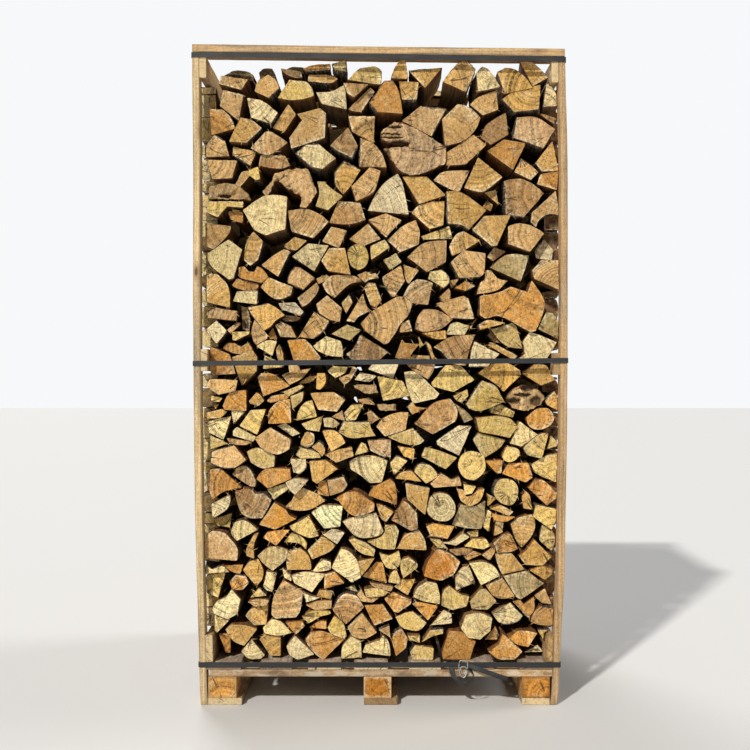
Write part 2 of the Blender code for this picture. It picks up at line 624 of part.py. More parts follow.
def add_straps():
    left = outer_face(-1, 1.0)
    right = outer_face(1, 1.0)
    for word, low_left, low_right in STRAPS:
        lowest = min(low_left, low_right)
        highest = max(low_left, low_right) + STRAP_WIDTH
        # The rounded corner of a strap would cut the post's square edge, so it stands off by a corner's sag.
        stand_off = STRAP_CORNER * (math.sqrt(2) - 1) + 0.0004
        inner = strap_path(lowest, highest, stand_off)
        outer = strap_path(lowest, highest, stand_off + STRAP_THICKNESS)

        def height_at(x):
            share = min(max((x - left) / (right - left), 0), 1)
            return low_left + (low_right - low_left) * share

        build = bmesh.new()
        rings = []
        for path, lift in ((outer, 0), (outer, STRAP_WIDTH), (inner, STRAP_WIDTH), (inner, 0)):
            rings.append([build.verts.new((x, y, height_at(x) + lift)) for x, y in path])
        count = len(outer)
        for ring, following in zip(rings, rings[1:] + rings[:1]):
            for i in range(count):
                j = (i + 1) % count
                build.faces.new((ring[i], ring[j], following[j], following[i]))
        bmesh.ops.recalc_face_normals(build, faces=build.faces)
        add_piece(f"strap_{word}", build, STRAP_BLACK, roughness=0.45)


def add_ribbon(name, path, width_points):
    """A flat strap end along a path of (x, y, z) points, width_points apart on its two edges."""
    sections = []
    for i, point in enumerate(path):
        here = Vector(point)
        before = Vector(path[max(i - 1, 0)])
        after = Vector(path[min(i + 1, len(path) - 1)])
        along = (after - before).normalized()
        across = Vector(width_points)
        across = (across - along * across.dot(along)).normalized() * STRAP_WIDTH / 2
        normal = along.cross(across).normalized() * STRAP_THICKNESS / 2
        corners = (-across - normal, across - normal, across + normal, -across + normal)
        sections.append([tuple(here + corner) for corner in corners])
    add_loft(name, sections, STRAP_BLACK)


def add_buckle():
    """A bent wire buckle on the lowest strap, with the strap's tail loop below it and its loose end."""
    centre = (0.262, FRONT - 0.0068, 0.1290)
    half_width = 0.017
    half_height = 0.0125
    wire = 0.0019
    path = []
    for x, z, start in ((1, 1, 0), (-1, 1, 90), (-1, -1, 180), (1, -1, 270)):
        for step in range(3):
            angle = math.radians(start + step * 45)
            px = centre[0] + x * (half_width - 0.005) + 0.005 * math.cos(angle)
            pz = centre[2] + z * (half_height - 0.005) + 0.005 * math.sin(angle)
            path.append(Vector((px, centre[1], pz)))
    build = bmesh.new()
    rings = []
    count = len(path)
    for i, point in enumerate(path):
        along = (path[(i + 1) % count] - path[i - 1]).normalized()
        outward = Vector((along.z, 0, -along.x))
        ring = []
        for step in range(6):
            angle = math.radians(step * 60)
            offset = outward * math.cos(angle) + Vector((0, 1, 0)) * math.sin(angle)
            ring.append(build.verts.new(point + offset * wire))
        rings.append(ring)
    for i in range(count):
        ring = rings[i]
        following = rings[(i + 1) % count]
        for j in range(6):
            k = (j + 1) % 6
            build.faces.new((ring[j], ring[k], following[k], following[j]))
    bmesh.ops.recalc_face_normals(build, faces=build.faces)
    add_piece("strap_buckle", build, WIRE_GREY, roughness=0.4, metallic=0.8)

    near = FRONT - 0.0045
    loop = []
    for step in range(11):
        angle = math.radians(150 + step * 24)
        loop.append((0.264 + 0.026 * math.cos(angle), near - 0.010, 0.094 + 0.016 * math.sin(angle)))
    add_ribbon("strap_tail_loop", loop, (0, 1, 0))
    tail = (
        (0.290, near - 0.0075, 0.1270), (0.310, near - 0.0110, 0.1200), (0.335, near - 0.0150, 0.1110),
        (0.360, near - 0.0170, 0.1010), (0.382, near - 0.0170, 0.0890), (0.402, near - 0.0150, 0.0740),
    )
    add_ribbon("strap_tail_end", tail, (0, -0.5, 1))


def plan_point(px, py):
    """A point of the log plan, in metres on the plane of the log ends, as (x, z)."""
    wide_x = EYE[0] + (px - EYE[0]) * LOG_PLANE_SCALE
    wide_y = EYE[1] + (py - EYE[1]) * LOG_PLANE_SCALE
    return Vector(((wide_x - PIXEL_OF_X0) * METRES_PER_PIXEL, (PIXEL_OF_GROUND - wide_y) * METRES_PER_PIXEL))


def signed_area(points):
    """Twice the area of a polygon, positive when it runs anticlockwise seen from the front."""
    return sum(a.x * b.y - b.x * a.y for a, b in zip(points, points[1:] + points[:1]))


def bowed_outline(corners):
    """The outline of a log end: its corners, with an arc on every side that bows out."""
    if signed_area([plan_point(c[0], c[1]) for c in corners]) < 0:
        # The sides' bows stay with their sides when the order of the corners turns round.
        bows = [c[2] if len(c) > 2 else 0 for c in corners]
        corners = [c[:2] for c in corners[::-1]]
        bows = bows[::-1][1:] + bows[::-1][:1]
        corners = [(*c, bow) for c, bow in zip(corners, bows)]
    outline = []
    for corner, following in zip(corners, corners[1:] + corners[:1]):
        start = plan_point(corner[0], corner[1])
        end = plan_point(following[0], following[1])
        bow = (corner[2] if len(corner) > 2 else 0) * METRES_PER_PIXEL
        outline.append(start)
        if bow:
            side = end - start
            outward = Vector((side.y, -side.x)).normalized()
            pieces = 2 if bow < 0.0045 else (3 if bow < 0.011 else 6)
            radius = (side.length ** 2 / 4 + bow ** 2) / (2 * bow)
            half_angle = math.asin(min(side.length / 2 / radius, 1))
            for step in range(1, pieces):
                angle = half_angle * (2 * step / pieces - 1)
                along = 0.5 + math.sin(angle) / (2 * math.sin(half_angle))
                rise = radius * (math.cos(angle) - math.cos(half_angle))
                outline.append(start + side * along + outward * rise)
    return outline


def offset_outline(points, distance):
    """The outline moved outwards by a distance."""
    moved = []
    for before, here, after in zip(points[-1:] + points[:-1], points, points[1:] + points[:1]):
        first = (here - before).normalized()
        second = (after - here).normalized()
        outward = Vector((first.y, -first.x)) + Vector((second.y, -second.x))
        if outward.length < 0.2:
            moved.append(here.copy())
            continue
        outward.normalize()
        cosine = max(outward.dot(Vector((first.y, -first.x))), 0.5)
        moved.append(here + outward * distance / cosine)
    return moved


def read_plan():
    """Every log of the plan as a dictionary: its name or "", its outline and how far it is set back."""
    chance = random.Random(7)
    logs = []
    plan = TOP_COURSES + UPPER_COURSES + MIDDLE_COURSES + LOWER_COURSES + BOTTOM_COURSES
    for line in plan.replace(",\n", ",").splitlines():
        line = line.strip()
        if not line:
            continue
        name = ""
        mark, _, rest = line.partition(" ")
        if not mark.isdigit():
            line = rest
            name = mark.strip("-")
        corners = [tuple(float(value) for value in corner.split()) for corner in line.split(",")]
        setback = chance.triangular(*LOG_SETBACKS)
        if mark == "-":
            setback = chance.uniform(*DEEP_SETBACKS)
        elif name:
            setback = chance.uniform(*OWN_NODE_SETBACKS)
        # No two ends lie in exactly one plane.
        setback = round(setback, 3) + len(logs) * SETBACK_STEP
        logs.append({"name": name, "outline": bowed_outline(corners), "setback": setback})
    return logs


def inside_region():
    """The room for the logs, as an outline in x and z, clear of the posts, rails, deck and top board."""
    clear = 0.002
    room = []
    for side in (1, -1):
        levels = [station[0] for station in POST_OUTER_FACES if DECK_TOP < station[0] < 2.0]
        steps = [(DECK_TOP + 0.0005, 1)]
        for _, bottom, height, drop in RAILS:
            low = bottom - (drop if side > 0 else 0)
            if low - clear > DECK_TOP + 0.003:
                steps += [(low - clear, 0), (low - clear, 1)]
            steps += [(low + height + clear, 1), (low + height + clear, 0)]
        for level in levels:
            if all(abs(level - step[0]) > 0.01 for step in steps):
                within = any(
                    bottom - drop - clear < level < bottom + height + clear
                    for _, bottom, height, drop in RAILS
                )
                steps.append((level, 1 if within else 0))
        top = top_board_underside(side * 0.55) - clear - 0.001
        steps.append((top, 0))
        order = sorted(range(len(steps)), key=lambda i: (steps[i][0], i))
        edge = []
        for i in order:
            height, rail = steps[i]
            inner = abs(outer_face(side, height)) - BOARD - clear - (BOARD if rail else 0)
            edge.append(Vector((side * inner, height)))
        room += edge if side > 0 else edge[::-1]
    return room


def grouped_by_edges(indices, triangles):
    """The triangles in groups that hang together by their edges."""
    groups = []
    left = set(indices)
    while left:
        group = [left.pop()]
        for index in group:
            touching = [i for i in left if len(set(triangles[i]) & set(triangles[index])) == 2]
            group += touching
            left -= set(touching)
        groups.append(group)
    return groups


def mend_pinches(flat, triangles, depths):
    """Fills the smaller gap wherever two ends would meet in one line of depth only."""

    def group_area(group):
        return sum(abs(signed_area([flat[corner] for corner in triangles[i]])) for i in group)

    fans = {}
    for index, triangle in enumerate(triangles):
        for corner in triangle:
            fans.setdefault(corner, []).append(index)
    for fan in fans.values():
        for limit in sorted({depths[i] for i in fan if depths[i] is not None}):
            solid = [i for i in fan if depths[i] is not None and depths[i] <= limit]
            gaps = grouped_by_edges([i for i in fan if i not in solid], triangles)
            if len(gaps) > 1 and len(grouped_by_edges(solid, triangles)) > 1:
                for i in min(gaps, key=group_area):
                    depths[i] = limit


def terraced_solid(name, room, core, logs, near, far, core_depth, facing, colour):
    """One row of logs as one solid: every log end stands at its own depth before the gaps' common floor.

    The front is triangulated once in the x-z plane. Each triangle is lifted to the end of the log that it
    lies in, and a wall joins two triangles wherever their depths differ. Logs with a node of their own
    leave an opening right through the row. facing is -1 for a row whose ends face the front.
    """
    points = []
    faces = []

    def add_face(outline):
        start = len(points)
        points.extend(outline)
        faces.append(list(range(start, start + len(outline))))

    add_face(room)
    add_face(core)
    for log in logs:
        add_face(log["cut"])
    result = delaunay_2d_cdt(points, [], faces, 0, 0.00025, True)
    flat, triangles, sources = result[0], result[2], result[5]

    # The depth of each triangle's front, or None where the row has nothing.
    depths = []
    for source in sources:
        inside = set(source)
        depth = None
        if 0 in inside:
            owners = [logs[i - 2] for i in inside if i >= 2]
            if any(log["name"] for log in owners):
                depth = None
            elif owners:
                depth = near + min(log["setback"] for log in owners)
            elif 1 in inside:
                depth = near + core_depth
        depths.append(depth)
    mend_pinches(flat, triangles, depths)

    edge_sides = {}
    for index, triangle in enumerate(triangles):
        if depths[index] is None:
            continue
        for i in range(3):
            edge_sides[(triangle[i], triangle[(i + 1) % 3])] = index
    levels = {}
    for index, triangle in enumerate(triangles):
        if depths[index] is not None:
            for corner in triangle:
                levels.setdefault(corner, set()).add(depths[index])
    open_edges = [edge for edge in edge_sides if (edge[1], edge[0]) not in edge_sides]
    for a, b in open_edges:
        levels[a].add(far)
        levels[b].add(far)

    build = bmesh.new()
    made = {}

    def corner_at(point, depth):
        key = (point, depth)
        if key not in made:
            made[key] = build.verts.new((flat[point].x, -facing * depth, flat[point].y))
        return made[key]

    def add_polygon(keys):
        corners = [corner_at(*key) for key in keys]
        build.faces.new(corners if facing < 0 else corners[::-1])

    def add_wall(a, b, shallow, deep):
        """The wall under edge a-b of the shallower triangle, with every depth that meets it on its sides."""
        side_a = [(a, d) for d in sorted(levels[a]) if shallow <= d <= deep]
        side_b = [(b, d) for d in sorted(levels[b]) if shallow <= d <= deep]
        i = 0
        j = 0
        while i < len(side_a) - 1 or j < len(side_b) - 1:
            step_a = i < len(side_a) - 1 and (
                j == len(side_b) - 1 or side_a[i + 1][1] <= side_b[j + 1][1]
            )
            if step_a:
                add_polygon((side_a[i], side_a[i + 1], side_b[j]))
                i += 1
            else:
                add_polygon((side_a[i], side_b[j + 1], side_b[j]))
                j += 1

    for index, triangle in enumerate(triangles):
        if depths[index] is not None:
            add_polygon([(corner, depths[index]) for corner in triangle])
    for (a, b), index in edge_sides.items():
        other = edge_sides.get((b, a))
        if other is None:
            add_wall(a, b, depths[index], far)
        elif depths[index] < depths[other]:
            add_wall(a, b, depths[index], depths[other])

    # The back is one flat face with the same rim and openings, triangulated with no inner points.
    rim = sorted({corner for edge in open_edges for corner in edge})
    place = {corner: i for i, corner in enumerate(rim)}
    rim_edges = [(place[a], place[b]) for a, b in open_edges]
    back = delaunay_2d_cdt([flat[corner] for corner in rim], rim_edges, [], 0, 0.00001, True)
    source_of = [ids[0] for ids in back[3]]
    back_triangles = [[source_of[corner] for corner in triangle] for triangle in back[2]]
    owner = {}
    for index, triangle in enumerate(back_triangles):
        for i in range(3):
            owner[(triangle[i], triangle[(i + 1) % 3])] = index
    # A back triangle belongs to the row when it is reached from the rim's inner side without crossing it.
    borders = set(rim_edges) | {(b, a) for a, b in rim_edges}
    pending = [owner[edge] for edge in rim_edges if edge in owner]
    kept = set(pending)
    while pending:
        triangle = back_triangles[pending.pop()]
        for i in range(3):
            edge = (triangle[i], triangle[(i + 1) % 3])
            other = owner.get(edge[::-1])
            if edge not in borders and other is not None and other not in kept:
                kept.add(other)
                pending.append(other)
    for index in kept:
        add_polygon([(rim[corner], far) for corner in back_triangles[index][::-1]])
    return add_piece(name, build, colour)


def add_own_log(log, near, far):
    """A log with a node of its own: a prism through the row's opening."""
    sections = [
        [(point.x, depth, point.y) for point in log["outline"]]
        for depth in (near + log["setback"], far)
    ]
    add_loft(log["name"], sections, WOOD_AMBER)


def add_logs():
    room = inside_region()
    core = [plan_point(*point) for point in PILE_TOP + PILE_BOTTOM]
    if signed_area(core) < 0:
        core = core[::-1]
    logs = read_plan()
    near = FRONT + LOG_END_SETBACK
    far = near + LOG_LENGTH
    for log in logs:
        if log["name"]:
            log["cut"] = offset_outline(log["outline"], 0.0012)
        else:
            log["cut"] = offset_outline(simple_outline(log["outline"], 0.0026), -0.0015)
    terraced_solid("front_log_row", room, core, logs, near, far, CORE_SETBACK, -1, WOOD_WHITE)
    for log in logs:
        if log["name"]:
            add_own_log(log, near, far)

    # The middle row shows only its top and sides, so it is the plain outline of the pile.
    middle = offset_outline(core, 0.004)
    middle_near = far + ROW_GAP
    middle_far = middle_near + LOG_LENGTH
    terraced_solid("middle_log_row", room, middle, [], middle_near, middle_far, 0.0, -1, WOOD_WHITE)

    # The back row is the same plan, turned half round, with only its larger logs in relief.
    centre = plan_point(382, 364)
    turned = []
    for log in logs:
        outline = [Vector((2 * centre.x - point.x, 2 * centre.y - point.y)) for point in log["outline"]]
        if signed_area(outline) > BACK_RELIEF_AREA:
            cut = offset_outline(simple_outline(outline, 0.0040), -0.0020)
            turned.append({"name": "", "cut": cut, "setback": log["setback"]})
    back_core = offset_outline(core, 0.002)
    terraced_solid("back_log_row", room, back_core, turned, near, far, BACK_CORE_SETBACK, 1, WOOD_WHITE)


def simple_outline(outline, tolerance):
    """The outline without the corners that hardly stand off the line past them."""
    kept = []
    for before, here, after in zip(outline[-1:] + outline[:-1], outline, outline[1:] + outline[:1]):
        nearest, _ = intersect_point_line(here, before, after)
        if (here - Vector(nearest[:2])).length > tolerance:
            kept.append(here)
    return kept if len(kept) > 2 else outline


add_pallet()
add_side_frames()
add_top_boards()
add_straps()
add_buckle()
add_logs()

# The origin is on the ground, under the middle of the whole crate with its straps and buckle.
bpy.context.view_layer.update()
corners = [
    piece.matrix_world @ Vector(corner)
    for piece in crate.children
    for corner in piece.bound_box
]
crate.location.x = -(min(corner.x for corner in corners) + max(corner.x for corner in corners)) / 2
crate.location.y = -(min(corner.y for corner in corners) + max(corner.y for corner in corners)) / 2
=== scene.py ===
"""The looks of a tall pallet crate of split firewood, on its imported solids.

Every log is a mesh of its own shape, joined by row: the front row's ends are read from the solids, the back
row is the same plan turned half round, and the middle row is the plan mirrored. The boards are the solids'
own shapes with worn edges and sawn surfaces.
"""
import math
import random

import bmesh
import bpy
import numpy as np
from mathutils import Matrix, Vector, noise


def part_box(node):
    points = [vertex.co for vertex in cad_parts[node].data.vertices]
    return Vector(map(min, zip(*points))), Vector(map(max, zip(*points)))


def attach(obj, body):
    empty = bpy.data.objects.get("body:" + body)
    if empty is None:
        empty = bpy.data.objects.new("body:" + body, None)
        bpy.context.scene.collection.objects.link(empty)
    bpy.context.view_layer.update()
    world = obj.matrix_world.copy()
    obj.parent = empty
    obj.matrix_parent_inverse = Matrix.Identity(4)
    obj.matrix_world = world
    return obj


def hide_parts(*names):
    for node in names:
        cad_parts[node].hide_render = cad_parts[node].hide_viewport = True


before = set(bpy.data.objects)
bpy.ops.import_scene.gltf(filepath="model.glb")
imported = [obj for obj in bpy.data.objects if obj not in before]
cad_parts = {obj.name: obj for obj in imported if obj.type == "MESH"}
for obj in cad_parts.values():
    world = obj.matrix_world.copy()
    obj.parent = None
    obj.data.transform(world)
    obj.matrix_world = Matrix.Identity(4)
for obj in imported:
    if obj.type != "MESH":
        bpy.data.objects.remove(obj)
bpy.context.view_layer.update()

# The photograph's frame: a pixel is this wide at the crate's front, and the eye is level with one pixel.
METRES_PER_PIXEL = 0.003177
PIXEL_OF_X0 = 379.8
PIXEL_OF_GROUND = 705
PIXELS_ACROSS = 750
EYE_PIXEL = (375, 375)
LOG_PLANE_SCALE = 1.008
HALF_TURN_PIXEL = (382, 364)
EYE_DISTANCE = 3.4
SENSOR_WIDTH = 36

BACKDROP_STRENGTH = 0.95
FILL_STRENGTH = 0.20

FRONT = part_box("front_post_left")[0].y
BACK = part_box("back_post_left")[1].y
SIDES = (("left", -1), ("right", 1))
RAILS = ("bottom", "middle", "top")

# Log rows: where the ends stand at the least set-back, and where the logs stop.
FRONT_NEAR = FRONT + 0.020
FRONT_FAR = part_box("front_log_row")[1].y
BACK_NEAR = BACK - 0.020
BACK_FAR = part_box("back_log_row")[0].y
MIDDLE_NEAR, MIDDLE_FAR = (corner.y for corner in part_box("middle_log_row"))
LENGTH_SPREAD = 0.030
MIDDLE_SPREAD = LENGTH_SPREAD * 0.7

# The solids' log ends: each has a depth of its own, and none of them lies as deep as the row's core.
DEEPEST_END = FRONT_NEAR + 0.075
SETBACK_STEP = 0.000002
CORNER_STEPS_PER_METRE = 20000
SMALLEST_END = 0.00012
SMALLEST_TURNED_END = 0.0002
SMALL_SETBACKS = (0.004, 0.030)
DEEP_SETBACKS = (0.036, 0.055)
FILLER_SETBACKS = (0.050, 0.095)
OUTLINE_GROWTH = 0.0013
HIDDEN_GROWTH = 0.0075
LEFT_LEAN_START = 0.50
LEFT_LEAN_WIDTH = 0.05
LEFT_LEAN = 0.0045

# A log's end and sides, in metres and degrees.
END_CHAMFER = 0.0016
RIM_WIDTH = 0.0030
SAPWOOD_WIDTH = 0.0095
BARK_ANGLE = 32
BARK_SHARE = 0.45
THICK_BARK_SHARE = 0.35
BLUNT_TIP = 96
SOFT_CORNER = 38
CORNER_ROUNDING = 0.0020
SMOOTH_ANGLE = 38
ROTTEN_STEP = 0.0035
ROTTEN_GRID = 0.0026
BENT_GRID = 0.007
CHECK_SHARE = 0.30
CHECK_REACH = 0.09
FEWEST_CHECKED_POINTS = 10
# How far a log's cut is out of square, how far it bends and slopes, and how much it tapers, as spreads.
TILT = 0.035
BEND = 0.0018
SLOPE_ACROSS = 0.0010
SLOPE_UP = 0.0016
TAPER = 0.018
PITH_SPREAD = 0.003
SIDE_LOGS_START = 0.49
MOST_SIDE_LEAN = 0.024
MOST_SIDE_SHIFT = 0.014
# How much of the saw cut's lean is left at the first sections, and how much of the rot's depth.
LEAN_SHARES = (1.0, 0.7, 0.0)
DECAY_SHARES = (1.0, 0.8)
# How far the surface is pushed at most: at the rim, on bark and on split sides, and on an end in a grid.
RIM_SWELL = 0.0009
BARK_SWELL = 0.0019
SPLIT_SWELL = 0.0012
ROTTEN_SWELL = 0.0009
BENT_SWELL = 0.0007
POLE_SWELL = 0.0008
# An end's rings inside its rim: how far in at most, as what share of the way to the middle at most, how
# much of the sapwood shows there, and how far the surface is pushed.
END_RINGS = ((RIM_WIDTH, 0.30, 1.0, 0.0003), (SAPWOOD_WIDTH, 0.5, 0.3, 0.0005), (9.0, 0.68, 0.0, 0.0007))

# How far along a log its sections stand; the last one is at its far end, however long it is.
FAR_END = 9.0
FULL_STATIONS = [0.0, END_CHAMFER, 0.010] + [0.010 + 0.0215 * step for step in range(1, 13)] + [FAR_END]
SHORT_STATIONS = [0.0, END_CHAMFER, 0.010, 0.028, 0.055, 0.105, FAR_END]
PLAIN_STATIONS = [0.0, 0.08, FAR_END]
# How long the short sides of an outline are, by row, and how rough the logs that show their sides are.
FRONT_STEP = 0.0080
BACK_STEP = 0.0090
FILLER_STEP = 0.010
OWN_STEP = 0.005
HIDDEN_STEP = 0.016
OUTER_ROUGHNESS = 1.5
FILLER_ROUGHNESS = 1.6
OWN_ROUGHNESS = 1.2

# The logs' room between the posts, where they may bulge out past the posts' inner faces.
LOG_CLEARANCE = 0.0028
LARGEST_BULGE = 0.020
MIRRORED_BULGE = 0.008
POST_DEPTH = 0.050
FLOOR_OF_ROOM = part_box("deck_board_1")[1].z + 0.0012
TOP_OF_ROOM = 2.0582
PILE_TOP_AT_SIDES = 2.02
SMALLEST_FILLED_GAP = {-1: 0.0030, 1: 0.0004}
FILLER_HEIGHTS = (0.035, 0.080)
FILLER_BULGES = (0.010, 0.019)
FILLER_WIDTH = 0.040

# Torn fibres: how many a log has, and how far out and between which heights they stand.
FIBRES = []
FIBRE_CHANCE = random.Random(11)
FIBRES_ON_A_LOG = (0, 1, 1, 2, 3, 4)
FIBRE_REACH = 0.50
FIBRE_HEIGHTS = (0.17, 1.98)
FIBRE_SETBACK = 0.0015

OWN_LOGS = (
    "grey_rotten_log", "pale_wedge_log", "yellow_round_log", "broad_middle_log", "broad_amber_log",
    "round_brown_log", "hexagon_log", "brown_grained_log", "knotted_log", "pale_round_log",
    "small_round_log", "orange_log", "weathered_log", "pale_bottom_log",
)

# The smallest logs, as the corners of their ends in pixels. "-" is set back.
SMALL_LOGS = """
- 284 66, 290 63, 303 64, 302 70
- 208 91, 213 91, 214 107, 207 100
540 112, 558 117, 555 122
249 170, 258 167, 260 179, 256 180, 249 175
- 484 205, 488 199, 494 203, 492 209
- 281 319, 286 315, 300 317, 296 320, 284 321
227 330, 237 322, 240 323, 230 333
- 268 333, 272 328, 276 338, 268 339
- 316 278, 326 274, 330 277, 318 283
342 303, 349 295, 352 302, 346 313
401 324, 409 320, 412 331, 400 332
- 419 336, 424 345, 420 348
- 408 359, 414 355, 430 356, 430 361
426 342, 430 345, 434 356, 440 361, 432 359
440 297, 449 288, 451 293, 450 301, 443 302
- 450 280, 460 278, 452 288
- 470 331, 473 323, 478 318
- 489 334, 492 331, 503 343, 494 341
211 396, 222 398, 219 402, 211 401
- 213 405, 218 404, 214 409
283 392, 301 385, 303 387, 287 397
- 297 384, 308 377, 317 376, 309 382
231 411, 244 412, 233 424
332 417, 342 411, 345 421
367 413, 371 411, 379 419, 370 425
- 357 400, 369 398, 375 405, 362 403
548 449, 552 436, 559 442, 558 446
430 539, 440 540, 448 549, 438 548
464 485, 476 487, 472 494, 464 496
- 488 495, 498 500, 489 508
491 513, 501 516, 515 517, 505 522, 494 520
484 527, 488 510, 491 512, 488 531
- 468 534, 479 532, 479 538, 472 538
465 558, 474 552, 482 555, 468 561
- 210 600, 217 600, 211 612
250 598, 259 589, 266 596
282 569, 290 575, 291 582, 284 578
303 593, 312 597, 320 598, 306 602
302 617, 320 617, 309 623
310 628, 319 622, 326 622, 326 629
- 345 591, 354 588, 357 594
370 583, 393 587, 391 591, 374 587
379 630, 389 626, 390 637
408 636, 420 636, 420 643, 410 640
538 630, 547 630, 543 639
- 526 655, 539 648, 544 654
"""
# Hollows in the rotten ends: centre in pixels, half widths across and up in pixels, and depth in millimetres.
HOLLOWS = """
277 187 2.6 7.5 34
287 192 6.5 3.2 16
298 199 2.6 5.6 30
225 196 6.5 1.6 20
226 210 5.5 4.5 24
326 190 2.0 5.5 22
399 143 11 2.6 26
391 134 10 0.8 9
392 137.5 11 0.9 12
395 127 7 1.1 12
388 158 3.0 8.0 12
250 184 6.0 6.0 30
514 401 6.0 3.0 20
528 388 7.0 3.0 20
536 401 5.0 4.5 16
523 395 9.0 1.8 14
"""

# The woods' tones, as sRGB out of 255, and the logs that stand out in each, by a pixel inside their ends.
TONES = {
    "tan": (206, 164, 104),
    "honey": (208, 163, 88),
    "yellow": (222, 190, 112),
    "pale": (230, 208, 152),
    "amber": (204, 146, 68),
    "orange": (196, 128, 44),
    "brown": (176, 134, 82),
    "grey": (178, 156, 108),
    "rotten": (190, 156, 108),
    # A dark brown that paints the shade of the right-hand gaps beside the posts, on the fillers there.
    "damp": (112, 74, 42),
    "mossy": (104, 84, 52),
}
LANDMARKS = {
    "pale": """
        265 215, 245 297, 217 332, 268 347, 293 308, 243 432, 288 430, 390 262, 540 350, 457 329, 450 440,
        525 435, 440 507, 245 530, 218 569, 220 625, 298 648, 445 618, 463 580, 484 573, 475 627, 508 615,
        375 650, 352 648, 330 347, 308 582, 322 566, 345 565, 427 592, 300 425, 422 385, 535 470, 368 430,
        365 525, 332 515, 362 68, 341 66, 285 162, 220 257""",
    "amber": """
        510 305, 254 275, 407 350, 235 402, 355 505, 385 492, 277 515, 238 582, 232 569, 378 615, 398 603,
        425 610, 325 642, 399 644, 505 648, 458 648, 523 638, 543 493, 225 480, 374 573, 335 580, 296 627,
        319 626, 541 418, 218 118""",
    "orange": "440 565, 252 583",
    "yellow": "495 575, 358 258, 472 466, 507 492",
    "brown": "252 503, 437 417, 365 350, 349 609, 545 617, 345 142",
    "grey": "345 333, 483 601, 272 558, 465 413, 331 423, 548 320, 510 265, 524 585, 465 515",
    "mossy": "243 72, 264 72, 291 69, 350 60, 236 318",
    "rotten": "415 148, 290 187, 300 200, 225 192, 360 393, 393 408, 525 397, 343 203",
}
LANDMARK_REACH = 9
# How often each tone comes up on the other logs, in the pile's upper and lower half.
UPPER_MIX = (("tan", 46), ("honey", 22), ("brown", 8), ("pale", 10), ("yellow", 8), ("amber", 6))
LOWER_MIX = (("yellow", 34), ("tan", 22), ("honey", 16), ("pale", 14), ("amber", 9), ("brown", 5))
MIX_HEIGHT = 1.08
UPPER_LIGHT = 0.88
LOWER_LIGHT = 1.02

# Boards: how their nodes' names start, the axis of the grain and the tone.
BOARDS = (
    ("skid_board", 1, "skid"),
    ("block_front_left", 1, "block"),
    ("block_front_middle", 1, "dark_block"),
    ("block_front_right", 1, "amber_block"),
    ("block_middle", 1, "block"),
    ("block_back", 1, "block"),
    ("cross_board", 0, "pallet"),
    ("deck_board", 1, "deck"),
    ("front_post_left", 2, "left_post"),
    ("front_post_right", 2, "right_post"),
    ("back_post", 2, "post"),
    ("bottom_rail", 1, "rail"),
    ("middle_rail", 1, "rail"),
    ("top_rail", 1, "rail"),
    ("top_board", 0, "top"),
)
# The boards' tones, as sRGB out of 255.
BOARD_TONES = {
    "pallet": (206, 172, 128),
    "deck": (172, 150, 128),
    "post": (208, 174, 124),
    "left_post": (224, 194, 142),
    "right_post": (180, 147, 104),
    "rail": (196, 158, 104),
    "block": (210, 150, 68),
    "amber_block": (200, 132, 40),
    "dark_block": (176, 112, 22),
    "skid": (196, 164, 116),
    "top": (208, 172, 122),
}
# How much of a board's surface has peeled and stained.
PEELING = {"pallet": 1.0, "deck": 0.5, "skid": 0.5, "rail": 0.25, "post": 0.15}
LEAST_PEELING = 0.1
PALLET_NAMES = ("skid", "block", "cross", "deck")
BOARD_STEP_ALONG = 0.034
BOARD_STEP_ACROSS = 0.017
WORN_EDGE = 0.0013
WORN_SWELL = 0.0008
SAWN_SWELL = 0.0004
POST_THICKNESS = 0.0222

WIRE_RADIUS = 0.0014
STRAP_WIDTH = 0.0150
STRAP_THICKNESS = 0.0009
STRAP_RIB = 0.0017
# The strap's section, in half widths and half thicknesses, with a rib along each half of both sides.
STRAP_SECTION = (
    (-1, 0), (-0.9, 1), (-0.45, 1.3), (0, 1), (0.45, 1.3), (0.9, 1),
    (1, 0), (0.9, -1), (0.45, -1.3), (0, -1), (-0.45, -1.3), (-0.9, -1),
)


def linear(colour):
    """An sRGB colour out of 255 as linear light."""
    shares = [value / 255 for value in colour]
    return tuple(s / 12.92 if s <= 0.04045 else ((s + 0.055) / 1.055) ** 2.4 for s in shares)


